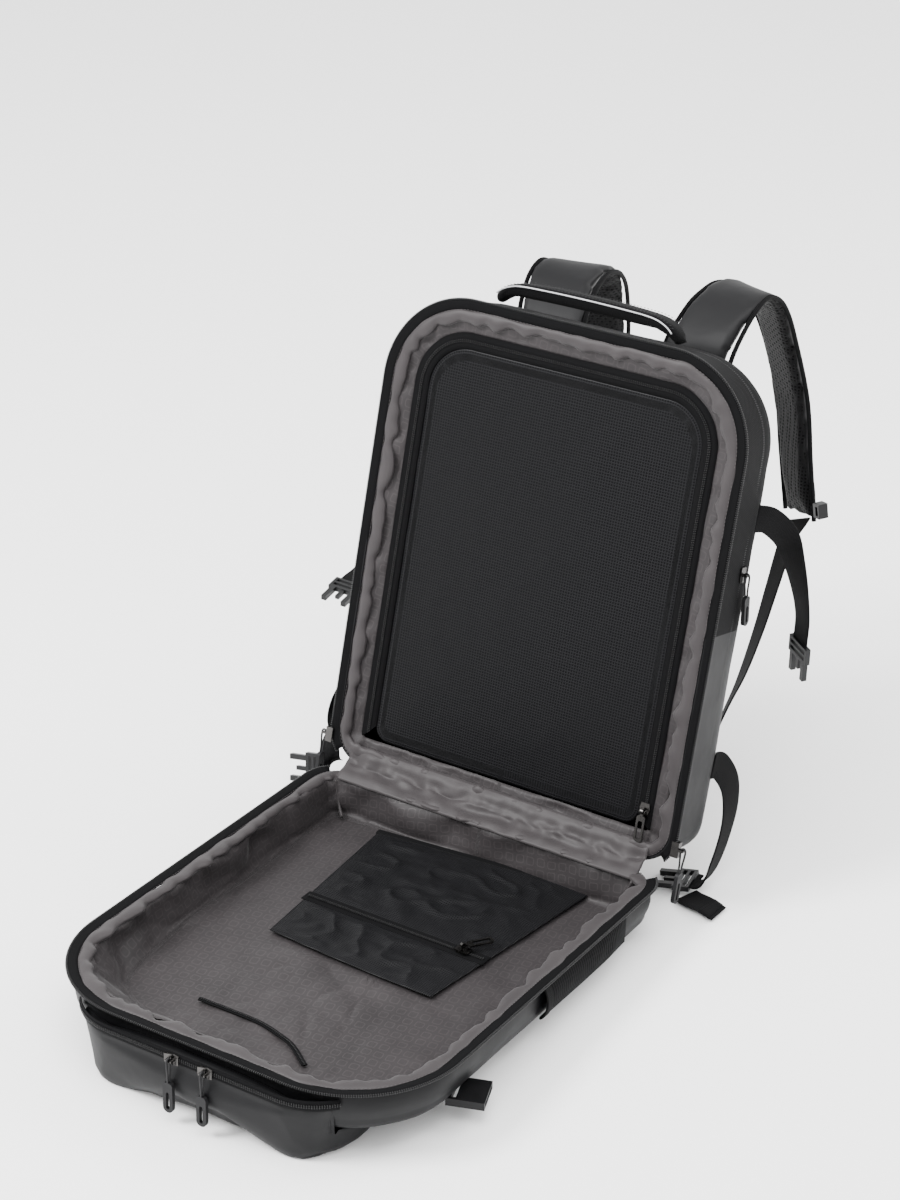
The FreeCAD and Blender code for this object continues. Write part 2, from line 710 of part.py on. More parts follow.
def compression_webbing(name, side, offsets, end_across):
    """One loose compression strap, from the side seam to its buckle."""
    points = [Vector((HALF.value + x) * side, y, z) for x, y, z in offsets]
    start_across, end_across = Vector(0, 1, 0), Vector(end_across[0] * side, end_across[1], end_across[2])
    stations = []
    for i, point in enumerate(points):
        share = min(i / (len(points) - 2), 1)
        across = start_across * (1 - share) + end_across * share
        stations.append((point, across, cell.webbing_width.value))
    bands = [ribbon(stations, cell.webbing_thickness.value)]
    if name.endswith("lower_right"):
        spare = [(Vector(HALF.value + x, y, z), Vector(0, 0.28, -0.96), cell.webbing_width.value)
                 for x, y, z in SPARE_END]
        bands.append(ribbon(spare, cell.webbing_thickness.value))
    add_shape(name, "back", Part.makeCompound(bands))
    along = (points[-1] - points[-2]).normalize()
    return points[-1], along, (end_across - along * end_across.dot(along)).normalize()


def male_buckle(name, end, along, across):
    """Side release buckle's tongue: a ladder frame, two spring arms and a guide."""
    normal = along.cross(across)
    half = cell.buckle_width.value / 2
    thick = cell.buckle_thickness.value * 0.7
    frame = Part.makeBox(16, half * 2, thick, Vector(0.3, -half, -thick / 2))
    for x in (3.2, 9.4):
        frame = frame.cut(Part.makeBox(3.6, half * 2 - 6, thick + 2, Vector(x, 3 - half, -thick / 2 - 1)))
    for y in (3 - half, half - 8):
        frame = frame.fuse(Part.makeBox(20, 5, thick, Vector(15, y, -thick / 2)))
    frame = frame.fuse(Part.makeBox(13, 4, thick * 0.7, Vector(15, -2, -thick * 0.35)))
    matrix = FreeCAD.Matrix(along.x, across.x, normal.x, end.x, along.y, across.y, normal.y, end.y,
                            along.z, across.z, normal.z, end.z, 0, 0, 0, 1)
    add_shape(name, "back", frame.removeSplitter().transformGeometry(matrix))


def compression_straps():
    """Upper and lower strap on each side, each with its buckle tongue."""
    for label, (offsets, across) in STRAP_ROUTES.items():
        side = 1 if label.endswith("right") else -1
        end = compression_webbing("compression_strap_" + label, side, offsets, across)
        male_buckle("male_buckle_" + label, *end)


# Where each buckle housing lies under the lid: across, from the hinge, and its turn.
HOUSINGS = [(162, 322, 20), (128, 30, 0)]


def female_buckles():
    """Buckle housings on the lid's outer face, each on its sewn webbing tab."""
    length, width, thick = cell.buckle_length.value, cell.buckle_width.value, cell.buckle_thickness.value
    housings = []
    tabs = []
    face = (RIM - cell.lid_depth - cell.seam_gap).value
    for side in (1, -1):
        for x, y, turn in HOUSINGS:
            body = Part.makeBox(length, width, thick, Vector(0, -width / 2, -thick))
            mouth = Part.makeBox(length * 0.7, width - 6, thick - 3,
                                 Vector(length * 0.4, 3 - width / 2, 1.5 - thick))
            slot = Part.makeBox(4, width - 6, thick + 2, Vector(4, 3 - width / 2, -thick - 1))
            body = body.cut(mouth).cut(slot)
            tab = Part.makeBox(20, cell.webbing_width.value, cell.webbing_thickness.value,
                               Vector(-20.2, -cell.webbing_width.value / 2, -cell.webbing_thickness.value))
            spin = Placement(Vector(x * side, -y, face),
                             Rotation(Vector(0, 0, 1), turn if side > 0 else 180 - turn))
            for shape, group in ((body, housings), (tab, tabs)):
                shape.Placement = spin
                group.append(shape)
    add_shape("female_buckles", "lid", Part.makeCompound(housings))
    add_shape("buckle_tabs", "lid", Part.makeCompound(tabs))


# ---------------------------------------------------------------- lid pockets

POCKET_FAR = cell.rim_start + cell.lid_length + cell.pocket_proud
ZIP_FRONT = -cell.pocket_top - 6
LID_FLOOR = RIM - cell.lid_depth + cell.wall + cell.seam_gap + cell.lining


def front_pocket():
    """Padded pocket under the lid: a wedge that fills down to the floor and wraps the far end."""
    body = new_body("front_pocket", "lid")
    half = cell.pocket_half
    slab(body, "XY_Plane", as_size(-90), -cell.pocket_top,
         lambda s: draw_outline(s, -half, half, -POCKET_FAR, -cell.pocket_start,
                                cell.pocket_radius, as_size(20)))
    face = RIM - cell.lid_depth - cell.seam_gap
    cut(body, "XY_Plane", face, -cell.pocket_top + 1, lambda s: lid_outline(s, cell.seam_gap))
    rise = math.tan(math.radians(cell.slope.value))
    drop = -cell.hinge_height.value / math.cos(math.radians(cell.slope.value))
    floor = [(0, drop), (-700, drop - 700 * rise), (-700, -300), (0, -300)]
    sketch = new_sketch(body, "YZ_Plane", HALF + 50)
    draw_polygon(sketch, floor)
    add_pocket(body, sketch, cell.bag_width + 100)


def front_pocket_zip():
    """Zip along the upper edge of the front pocket."""
    body = new_body("front_pocket_zip", "lid")

    def pocket_outline(sketch, grow):
        grow = as_size(grow)
        half = cell.pocket_half + grow
        far = -POCKET_FAR - grow
        draw_outline(sketch, -half, half, far, grow - cell.pocket_start, cell.pocket_radius + grow, 20 + grow)
    half_tape = cell.tape_half * 0.7
    ring(body, pocket_outline, cell.tape, cell.seam_gap, ZIP_FRONT - half_tape, ZIP_FRONT + half_tape)
    ring(body, pocket_outline, cell.tape + cell.coil_height, cell.tape,
         ZIP_FRONT - cell.coil_half, ZIP_FRONT + cell.coil_half)
    near = cell.pocket_radius * 0.45 - POCKET_FAR
    cut_box(body, ZIP_FRONT - 12, ZIP_FRONT + 12, -OUTSIDE, OUTSIDE, near, as_size(30))
    cut(body, "XY_Plane", ZIP_FRONT - 12, ZIP_FRONT + 12, lambda s: lid_outline(s, cell.binding_height))


def mesh_pocket():
    """Two mesh panels on the lid's lining, either side of their zip."""
    top = LID_FLOOR + cell.mesh_height
    panels = []
    zip_far = -cell.mesh_zip - cell.tape_half
    zip_near = cell.tape_half - cell.mesh_zip
    for low, high in ((zip_near + cell.seam_gap, -cell.mesh_near),
                      (-cell.mesh_far, zip_far - cell.seam_gap)):
        box = doc.addObject("Part::Box", "mesh_panel")
        box.setExpression("Length", (cell.mesh_right - cell.mesh_left).text)
        box.setExpression("Width", (high - low).text)
        box.setExpression("Height", (top - LID_FLOOR - cell.seam_gap).text)
        for axis, size in (("x", cell.mesh_left), ("y", low), ("z", LID_FLOOR + cell.seam_gap)):
            box.setExpression("Placement.Base.%s" % axis, size.text)
        panels.append(box)
    group = doc.addObject("Part::Compound", "mesh_pocket")
    group.Links = panels
    group.Label = "mesh_pocket"
    place(group, "lid")
    PARTS.append(group)
    body = new_body("mesh_pocket_zip", "lid")
    slab(body, "XY_Plane", top - cell.tape, top,
         lambda s: draw_box(s, cell.mesh_left, cell.mesh_right, zip_far, zip_near))
    slab(body, "XY_Plane", top, top + cell.coil_height,
         lambda s: draw_box(s, cell.mesh_left + 4, cell.mesh_right - 8,
                            -cell.mesh_zip - cell.coil_half, cell.coil_half - cell.mesh_zip))


def inner_pocket_zip():
    """Curved zip in the lining near the lid's far end."""
    body = new_body("inner_pocket_zip", "lid")
    low = LID_FLOOR + cell.seam_gap

    far = -(cell.rim_start + cell.lid_length).value

    def band(sketch):
        edge = [(-70, 82), (-10, 82), (30, 72), (52, 56), (62, 62), (36, 83), (-8, 96), (-70, 96)]
        draw_polygon(sketch, [(x, far + y) for x, y in edge])
    slab(body, "XY_Plane", low, low + cell.lining, band)


def bottle_pockets():
    """Stretch pocket on each side of the lid, open at the end away from the hinge."""
    depth, wall = cell.bottle_depth.value, cell.bottle_wall.value
    face = (RIM - cell.lid_depth + cell.bottle_low).value
    length = (cell.bottle_end - cell.bottle_start).value
    pockets = []
    for side in (1, -1):
        left = HALF.value + cell.seam_gap.value if side > 0 else -HALF.value - cell.seam_gap.value - depth
        box = Part.makeBox(depth, length, cell.bottle_high.value, Vector(left, -cell.bottle_end.value, face))
        inner = left + (wall / 2 if side > 0 else wall)
        hollow = Part.makeBox(depth - wall * 1.5, length, cell.bottle_high.value - wall * 2,
                              Vector(inner, -cell.bottle_end.value - wall, face + wall))
        pockets.append(box.cut(hollow))
    add_shape("bottle_pockets", "lid", Part.makeCompound(pockets))


# ---------------------------------------------------------------- zip sliders and pulls


def axes_placement(frame, origin, normal, up):
    """Placement whose X is the normal and whose Z is the travel, in a frame."""
    x = Vector(*normal)
    z = Vector(*up)
    y = z.cross(x)
    matrix = FreeCAD.Matrix(x.x, y.x, z.x, origin[0], x.y, y.y, z.y, origin[1],
                            x.z, y.z, z.z, origin[2], 0, 0, 0, 1)
    return frame_placement(frame).multiply(Placement(matrix))


def slider(name, placement, channel, bail_turn):
    """Zip slider: a saddle over a closed coil, or a channel round a single one, with its bar."""
    body = new_body(name, "world")
    body.Placement = placement
    gap = cell.clearance
    if channel:
        plate = cell.brim_width + cell.coil_width / 2 + gap + 1.2
        inner = cell.coil_width / 2 + gap * 2
        slab(body, "YZ_Plane", plate - 1.2, plate, lambda s: draw_box(s, -inner - 1, inner + 1, -7, 7))
        for low, high in ((inner, inner + 1), (-inner - 1, -inner)):
            slab(body, "YZ_Plane", plate - 7, plate - 1.2, lambda s, a=low, b=high: draw_box(s, a, b, -7, 7))
    else:
        under = cell.tape + cell.coil_height + gap
        plate = under + 1.2
        slab(body, "YZ_Plane", under, plate,
             lambda s: draw_polygon(s, [(-3, -7), (3, -7), (5, 2), (4, 7), (-4, 7), (-5, 2)]))
        for side in (-1, 1):
            a, b = sorted(((cell.coil_half + gap) * side, (cell.coil_half + gap + 1.0) * side),
                          key=lambda size: size.value)
            slab(body, "YZ_Plane", cell.tape + gap, under, lambda s, a=a, b=b: draw_box(s, a, b, -5, 5))
    bar = plate + cell.bail_clearance

    def turned(low, high, y0, y1, z0, z1):
        sketch = new_sketch(body, "YZ_Plane", low, bail_turn)
        draw_box(sketch, y0, y1, z0, z1)
        add_pad(body, sketch, high - low)
    for y in (-3.2, 2.0):
        turned(plate, bar + 0.8, y, y + 1.2, -0.8, 0.8)
    turned(bar - 0.8, bar + 0.8, -2.1, 2.1, -0.8, 0.8)
    return bar.value


def rounded_path(points):
    """Straight runs joined by tangent arcs, each as large as its two runs allow."""
    edges = []
    start = points[0]
    for i in range(1, len(points) - 1):
        here = points[i]
        back, ahead = points[i - 1] - here, points[i + 1] - here
        shorter = min(back.Length, ahead.Length)
        u, v = Vector(back).normalize(), Vector(ahead).normalize()
        half_turn = (math.pi - u.getAngle(v)) / 2
        cut_back = 0.45 * shorter
        radius = cut_back / math.tan(half_turn)
        enter, leave = here + u * cut_back, here + v * cut_back
        bisector = (u + v).normalize()
        centre = here + bisector * (radius / math.cos(half_turn))
        middle = centre - bisector * radius
        edges.append(Part.LineSegment(start, enter).toShape())
        edges.append(Part.Arc(enter, middle, leave).toShape())
        start = leave
        RADII.append(radius)
    edges.append(Part.LineSegment(start, points[-1]).toShape())
    return Part.Wire(edges)


RADII = []

# The pull cord's route from the rubber pull, round the bar and back: out from the slider, and up.
CORD_ROUTE = [(-1.1, -20.0), (-1.2, -12.5), (-2.2, -5.0), (-2.3, 2.4),
              (2.3, 2.4), (2.2, -5.0), (1.2, -12.5), (1.1, -20.0)]


def pull_cord(name, placement):
    """Cord loop that hangs from a slider's bar and ends in the rubber pull."""
    points = [Vector(x, 0, z) for x, z in CORD_ROUTE]
    path = rounded_path(points)
    radius = cell.cord_width.value / 2
    circle = Part.Wire([Part.Circle(points[0], Vector(*(points[1] - points[0])), radius).toShape()])
    tube = path.makePipeShell([circle], True, True)
    expected = math.pi * radius ** 2 * path.Length
    if abs(tube.Volume - expected) > 0.03 * expected:
        raise RuntimeError("%s: the cord's volume is %.1f, not %.1f" % (name, tube.Volume, expected))
    cord = add_shape(name, "world", tube)
    cord.Placement = placement
    return path.Length


def rubber_pull(name, placement):
    """Slotted rubber pull moulded over the ends of a cord."""
    body = new_body(name, "world")
    body.Placement = placement
    half, thick = cell.tag_width / 2, cell.tag_thickness / 2
    high, low = -cell.pull_drop - 0.02, -cell.pull_drop - cell.tag_length
    slab(body, "YZ_Plane", -thick, thick,
         lambda s: draw_outline(s, -half, half, low, high, half - 0.3, half - 1.5))
    slot = as_size(1.6)
    cut(body, "YZ_Plane", -thick - 1, thick + 1,
        lambda s: draw_outline(s, -slot, slot, low + 3, high - 9, as_size(1.3), as_size(1.3)))


def metal_pull(name, placement):
    """Slotted metal pull with an eye round the slider's bar."""
    body = new_body(name, "world")
    body.Placement = placement
    half, thick = cell.metal_pull_width / 2, cell.metal_pull_thickness / 2
    low = -cell.metal_pull_length
    slab(body, "YZ_Plane", -thick, thick,
         lambda s: draw_outline(s, -half, half, low, as_size(-4), as_size(3), as_size(2.4)))
    slot = as_size(2.2)
    cut(body, "YZ_Plane", -thick - 1, thick + 1,
        lambda s: draw_outline(s, -slot, slot, low + 2.4, as_size(-9), as_size(1.6), as_size(1.6)))
    slab(body, "XZ_Plane", as_size(-1.5), as_size(1.5), lambda s: draw_box(s, -thick, thick, -4.2, -2))
    sketch = new_sketch(body, "XZ_Plane", -1.5)
    draw_circle(sketch, 0, 0, 2.7)
    draw_circle(sketch, 0, 0, 1.6)
    add_pad(body, sketch, 3)


ZIPS = [
    # name, frame, origin, normal, travel, channel, turn of the bar, hang about the normal, pull
    ("main_right", "back", (HALF, 22, COIL_MIDDLE), (1, 0, 0), (0, 1, 0), True, 0, 0, "cord"),
    ("main_left", "back", (-HALF, 22, COIL_MIDDLE), (-1, 0, 0), (0, 1, 0), True, 0, 0, "cord"),
    ("laptop", "back", (HALF, 264, -cell.laptop_zip_depth), (1, 0, 0), (0, 1, 0), False, 0, 16.3, "cord"),
    ("front_left", "lid", (-16, "front", ZIP_FRONT), (0, -1, 0), (1, 0, 0), False, 90, 90, "cord"),
    ("front_right", "lid", (17, "front", ZIP_FRONT), (0, -1, 0), (1, 0, 0), False, 90, 90, "cord"),
    ("divider", "back", ("divider", 46, DIVIDER_TOP - cell.tape), (0, 0, 1), (0, 1, 0), False, 0, 0, "metal"),
    ("mesh", "lid", (74, -cell.mesh_zip, LID_FLOOR + cell.mesh_height - cell.tape),
     (0, 0, 1), (1, 0, 0), False, -125, -125, "metal"),
]


def zips():
    """Every slider with its pull."""
    special = {"front": -POCKET_FAR,
               "divider": HALF - cell.strip_inset - cell.seam_gap - cell.tape_half}
    for name, frame, origin, normal, travel, channel, bail_turn, hang, kind in ZIPS:
        spot = [as_size(special.get(p, p) if isinstance(p, str) else p).value for p in origin]
        placement = axes_placement(frame, spot, normal, travel)
        reach = slider("slider_" + name, placement, channel, bail_turn)
        pivot = Placement(Vector(reach, 0, 0), Rotation(Vector(1, 0, 0), hang))
        hanging = placement.multiply(pivot)
        if kind == "cord":
            length = pull_cord("cord_" + name, hanging)
            rubber_pull("pull_" + name, hanging)
            print("cord_%s is %.1f mm long" % (name, length))
        else:
            metal_pull("pull_" + name, hanging)
        base = hanging.Base
        axis = hanging.Rotation.multVec(Vector(0, 1, 0))
        print("pivot %s (%.2f, %.2f, %.2f) axis (%.4f, %.4f, %.4f)" % (name, *base, *axis))


def check_and_write():
    """Refuse any failed object, then write one STEP file for each sub-part."""
    doc.recompute()
    for thing in doc.Objects:
        if "Invalid" in thing.State or "Error" in thing.State:
            raise RuntimeError("%s failed: %s" % (thing.Name, thing.State))
    if len(PARTS) > 60:
        raise RuntimeError("too many sub-parts: %d" % len(PARTS))
    os.makedirs("parts", exist_ok=True)
    for part in PARTS:
        if part.Shape.isNull() or not part.Shape.isValid():
            raise RuntimeError("%s has no valid shape" % part.Label)
    for part in PARTS:
        part.Shape.exportStep(os.path.join("parts", part.Label + ".step"))
    print("%d sub-parts written, smallest cord radius %.2f mm" % (len(PARTS), min(RADII)))


back_shell("back_shell_upper", True)
back_shell("back_shell_lower", False)
rim_pieces("back", back_outline)
back_lining()
divider_zip()
divider_mesh()
laptop_sleeve()
laptop_zip()
back_pads()
shoulder_yoke()
hinge_gusset()
handle()
for word, side in (("right", 1), ("left", -1)):
    shoulder_strap("shoulder_strap_" + word, side)
    shoulder_webbing("shoulder_webbing_" + word, side)
    sternum_slider("sternum_slider_" + word, side)
compression_straps()
lid_shell()
lid_lining()
rim_pieces("lid", lid_outline)
front_pocket()
front_pocket_zip()
mesh_pocket()
inner_pocket_zip()
bottle_pockets()
female_buckles()
zips()
check_and_write()
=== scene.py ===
import json
import math

import bmesh
import bpy
import numpy as np
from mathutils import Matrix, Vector, noise


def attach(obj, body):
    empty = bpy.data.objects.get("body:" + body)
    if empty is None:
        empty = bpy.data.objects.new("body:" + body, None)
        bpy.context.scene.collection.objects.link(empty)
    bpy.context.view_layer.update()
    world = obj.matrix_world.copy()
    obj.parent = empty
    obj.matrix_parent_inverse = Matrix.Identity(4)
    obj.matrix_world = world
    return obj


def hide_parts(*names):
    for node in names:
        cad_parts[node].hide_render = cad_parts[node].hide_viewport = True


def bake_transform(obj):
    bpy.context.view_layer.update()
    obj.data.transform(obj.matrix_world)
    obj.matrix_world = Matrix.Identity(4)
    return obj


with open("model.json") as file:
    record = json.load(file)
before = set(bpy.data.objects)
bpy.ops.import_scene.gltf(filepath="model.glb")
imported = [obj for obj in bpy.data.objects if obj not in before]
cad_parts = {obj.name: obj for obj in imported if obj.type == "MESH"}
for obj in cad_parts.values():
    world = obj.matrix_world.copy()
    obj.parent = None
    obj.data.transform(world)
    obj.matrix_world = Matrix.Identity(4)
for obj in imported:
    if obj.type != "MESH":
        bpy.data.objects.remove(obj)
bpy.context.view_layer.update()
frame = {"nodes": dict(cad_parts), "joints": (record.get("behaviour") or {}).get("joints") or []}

bl_info = {
    "name": "Travel backpack",
    "version": (1, 0, 0),
    "blender": (4, 5, 0),
    "location": "View3D > Sidebar > Backpack",
    "description": "Soft goods, zips and finishes of an opened clamshell travel backpack",
    "category": "Object",
}

# ------------------------------------------------------------------ the two halves

MM = 0.001
HINGE_Y, HINGE_Z = 250.0, 52.0
LEAN, SLOPE = math.radians(16.3), math.radians(2.6)
HALF_WIDTH = 175.0
RIM_START = 4.0
SEAM = 212.0
PITCH = 4.0  # spacing of mesh columns round a rim, mm
EDGE_STEPS = 5  # facets of a band's rounded edge
WEBBING_WIDTH, WEBBING_THICK = 25.0, 1.6
CHANNELS = (94.0, 160.0, 226.0, 292.0)  # sewn channels of the back cushions, mm from the hinge
BOTTLE_FLOOR, BOTTLE_RISE = -39.0, 34.0  # lower edge and height of a bottle pocket's wall
HINGE = np.array((0, HINGE_Y, HINGE_Z))


class Half:
    """A rounded rectangle in one half of the bag, in mm.

    x runs across, d away from the hinge and z out of its mouth.
    """

    def __init__(self, body, along, out, length, radii, half_width=HALF_WIDTH, start=RIM_START):
        self.body = body
        self.along = np.array(along)
        self.out = np.array(out)
        self.length = length
        self.radii = radii
        self.half_width = half_width
        self.start = start

    def at(self, x, d, z):
        """World point in metres."""
        p = Vector(HINGE) + Vector(self.along) * float(d) + Vector(self.out) * float(z)
        p.x += float(x)
        return p * MM

    def many(self, x, d, z):
        """World points in metres from arrays."""
        x, d, z = np.broadcast_arrays(np.asarray(x, float), np.asarray(d, float), np.asarray(z, float))
        p = HINGE + d[..., None] * self.along + z[..., None] * self.out
        p[..., 0] += x
        return p * MM

    def outline(self, grow=0.0):
        """Columns round the rim, from the middle of the hinge edge: x, d, outward normal and run, in mm."""
        a0, b0 = self.radii
        low, high, half = self.start, self.start + self.length, self.half_width
        a, b = max(a0 + grow, 3.0), max(b0 + grow, 3.0)
        low, high, half = low - grow, high + grow, half + grow

        def line(p, q):
            return lambda t: (p[0] + (q[0] - p[0]) * t, p[1] + (q[1] - p[1]) * t)

        def arc(cx, cy, r, start):
            return lambda t: (cx + r * math.cos(start + math.pi / 2 * t),
                              cy + r * math.sin(start + math.pi / 2 * t))
        flat, side = self.half_width, self.length
        runs = [
            (line((0, low), (half - a, low)), flat - a0),
            (arc(half - a, low + a, a, -math.pi / 2), a0 * math.pi / 2),
            (line((half, low + a), (half, high - b)), side - a0 - b0),
            (arc(half - b, high - b, b, 0), b0 * math.pi / 2),
            (line((half - b, high), (b - half, high)), 2 * (flat - b0)),
            (arc(b - half, high - b, b, math.pi / 2), b0 * math.pi / 2),
            (line((-half, high - b), (-half, low + a)), side - a0 - b0),
            (arc(a - half, low + a, a, math.pi), a0 * math.pi / 2),
            (line((a - half, low), (0, low)), flat - a0)]
        points, run, total = [], [], 0.0
        for curve, length in runs:
            steps = max(2, round(length / PITCH))
            for i in range(steps):
                points.append(curve(i / steps))
                run.append(total + length * i / steps)
            total += length
        p = np.array(points)
        ahead, behind = np.roll(p, -1, 0), np.roll(p, 1, 0)
        tangent = ahead - behind
        tangent /= np.linalg.norm(tangent, axis=1)[:, None]
        normal = np.stack([tangent[:, 1], -tangent[:, 0]], 1)
        return p[:, 0], p[:, 1], normal, np.array(run), total


BACK = Half("back_half", (0, math.sin(LEAN), math.cos(LEAN)), (0, -math.cos(LEAN), math.sin(LEAN)), 438.0,
            (28.0, 75.0))
LID = Half("lid", (0, -math.cos(SLOPE), math.sin(SLOPE)), (0, math.sin(SLOPE), math.cos(SLOPE)), 430.0,
           (28.0, 92.0))
DIVIDER = Half("back_half", BACK.along, BACK.out, 377.0, (14.0, 39.0), half_width=139.0, start=29.0)
POCKET = Half("lid", LID.along, LID.out, 387.0, (20.0, 55.0), half_width=138.0, start=62.0)


def wave(run, total, length, seed):
    """Smooth closed noise round a rim, -1 to 1, with humps of about this length in mm."""
    radius = total / (2 * math.pi) / length
    turn = run / total * 2 * math.pi
    places = [Vector((math.cos(t) * radius, math.sin(t) * radius, seed)) for t in turn]
    return np.array([noise.noise(place) for place in places]) * 1.6


# ------------------------------------------------------------------ meshes


def add_object(name, data):
    """Put a mesh, curve, light or camera in the scene as an object."""
    obj = bpy.data.objects.new(name, data)
    bpy.context.scene.collection.objects.link(obj)
    return obj


def new_object(name, verts, faces, uvs=None, smooth=True):
    """A mesh object from points in metres; uvs are per vertex, in metres."""
    mesh = bpy.data.meshes.new(name)
    mesh.from_pydata([tuple(v) for v in verts], [], faces)
    if uvs is not None:
        layer = mesh.uv_layers.new(name="cloth")
        order = np.zeros(len(mesh.loops), int)
        mesh.loops.foreach_get("vertex_index", order)
        layer.data.foreach_set("uv", np.asarray(uvs, np.float32)[order].ravel())
    mesh.polygons.foreach_set("use_smooth", [smooth] * len(mesh.polygons))
    mesh.update()
    return add_object(name, mesh)


def tidy_normals(obj, merge=1e-6):
    """Merge doubles and make faces point outwards."""
    bm = bmesh.new()
    bm.from_mesh(obj.data)
    bmesh.ops.remove_doubles(bm, verts=bm.verts, dist=merge)
    bmesh.ops.recalc_face_normals(bm, faces=bm.faces)
    bm.to_mesh(obj.data)
    bm.free()
    obj.data.update()


def apply_modifiers(obj):
    """Bake an object's modifiers into its mesh."""
    bpy.context.view_layer.update()
    graph = bpy.context.evaluated_depsgraph_get()
    mesh = bpy.data.meshes.new_from_object(obj.evaluated_get(graph), preserve_all_data_layers=True,
                                           depsgraph=graph)
    obj.modifiers.clear()
    old = obj.data
    obj.data = mesh
    if old.users == 0 and isinstance(old, bpy.types.Mesh):
        bpy.data.meshes.remove(old)
    return obj


def grid_faces(rows, columns, closed):
    """Quads of a grid of rows by columns."""
    faces = []
    last = columns if closed else columns - 1
    for r in range(rows - 1):
        for c in range(last):
            n = (c + 1) % columns
            faces.append((r * columns + c, r * columns + n, (r + 1) * columns + n, (r + 1) * columns + c))
    return faces


def band(name, half, rings, keep=None, floor=None, flip=False):
    """A sheet swept round a rim. rings: (grow, z, shift) in mm; shift is an array of extra growth.
    keep(d, x) picks the columns of an open band; floor closes the last ring towards the middle."""
    rows, across = [], []
    travelled = 0.0
    before = None
    for grow, z, shift in rings:
        x, d, normal, run = half.outline(grow)[:4]
        x, d = x + normal[:, 0] * shift, d + normal[:, 1] * shift
        rows.append((x, d, np.broadcast_to(z, x.shape)))
        here = (float(np.mean(np.broadcast_to(grow + np.asarray(shift), x.shape))), float(np.mean(z)))
        if before is not None:
            travelled += math.dist(here, before)
        across.append(travelled)
        before = here
    closed = keep is None
    x0, d0 = half.outline(0)[:2]
    picked = np.arange(len(x0))
    if not closed:
        inside = keep(d0, x0)
        start = int(np.argmax(inside & ~np.roll(inside, 1)))
        picked = np.array([i for i in np.roll(picked, -start) if inside[i]])
    uvs, points = [], []
    for (x, d, z), v in zip(rows, across):
        points.append(half.many(x[picked], d[picked], z[picked]))
        uvs.append(np.stack([run[picked], np.full(len(picked), v)], 1) * MM)
    if floor:
        x, d, z = (np.array(q)[picked] for q in rows[-1])
        middle, level = float(np.mean(d)), float(np.mean(z))
        for share, lift in floor:
            points.append(half.many(x * share, middle + (d - middle) * share,
                                    level + (z - level) * share + lift))
            uvs.append(np.stack([x * share, middle + (d - middle) * share], 1) * MM)
    columns = len(picked)
    verts = np.concatenate(points)
    faces = grid_faces(len(points), columns, closed)
    uv = np.concatenate(uvs)
    if floor:
        centre = verts[-columns:].mean(0)
        verts = np.vstack([verts, centre])
        uv = np.vstack([uv, uv[-columns:].mean(0)])
        base = (len(points) - 1) * columns
        faces += [(base + c, base + (c + 1) % columns, len(verts) - 1) for c in range(columns)]
    if flip:
        faces = [tuple(reversed(f)) for f in faces]
    return new_object(name, verts, faces, uv)


def thicken(obj, thickness, offset=-1.0):
    """Give a sheet its thickness in mm."""
    mod = obj.modifiers.new("thickness", "SOLIDIFY")
    mod.thickness = thickness * MM
    mod.offset = offset
    return apply_modifiers(obj)


def push(obj, field):
    """Move each vertex along its normal by field(point), in metres."""
    mesh = obj.data
    moved = [v.co + v.normal * field(v.co) for v in mesh.vertices]
    for v, co in zip(mesh.vertices, moved):
        v.co = co
    mesh.update()


def creases(p, scale, seed, stretch=(1, 1, 1)):
    """Soft cloth creases: ridged noise, about -0.5 to 0.5, scale in mm."""
    q = Vector((p.x * stretch[0], p.y * stretch[1], p.z * stretch[2])) / (scale * MM)
    q += Vector((seed, seed * 1.7, seed * 0.3))
    ridge = 1.0 - abs(noise.noise(q)) * 2.2
    return (max(ridge, 0.0) ** 2 - 0.3) * 0.6 + noise.noise(q * 0.5) * 0.5


def smooth_line(points, steps=10):
    """Catmull-Rom line through points; each point is a row of numbers."""
    p = np.array(points, float)
    ends = np.vstack([2 * p[0] - p[1], p, 2 * p[-1] - p[-2]])
    out = []
    for i in range(1, len(ends) - 2):
        a, b, c, d = ends[i - 1:i + 3]
        for k in range(steps):
            t = k / steps
            out.append(0.5 * (2 * b + (c - a) * t + (2 * a - 5 * b + 4 * c - d) * t * t
                              + (3 * b - a - 3 * c + d) * t ** 3))
    out.append(p[-1])
    return np.array(out)


def strap(name, centres, acrosses, widths, thickness):
    """A flat band with rounded edges along centre points in metres; widths and thickness in mm."""
    rows = []
    uvs = []
    run = 0.0
    count = len(centres)
    for i in range(count):
        c = Vector(centres[i])
        t = Vector(centres[min(i + 1, count - 1)]) - Vector(centres[max(i - 1, 0)])
        t.normalize()
        side = Vector(acrosses[i])
        side = (side - t * side.dot(t)).normalized()
        up = t.cross(side)
        half, thick = widths[i] / 2 * MM, thickness / 2 * MM
        section = []
        for sign in (1, -1):
            for k in range(EDGE_STEPS + 1):
                a = -math.pi / 2 + math.pi * k / EDGE_STEPS
                section.append((sign * (half - thick + thick * math.cos(a)), sign * thick * math.sin(a)))
            for k in range(1, 8):
                section.append((sign * (half - thick) * (1 - k / 4), sign * thick))
        for u, w in section:
            rows.append(c + side * u + up * w)
            uvs.append((u, run))
        if i + 1 < count:
            run += (Vector(centres[i + 1]) - c).length
    columns = len(section)
    faces = grid_faces(count, columns, True)
    faces.append(tuple(range(columns))[::-1])
    faces.append(tuple((count - 1) * columns + c for c in range(columns)))
    obj = new_object(name, rows, faces, uvs)
    tidy_normals(obj, 1e-7)
    return obj, run


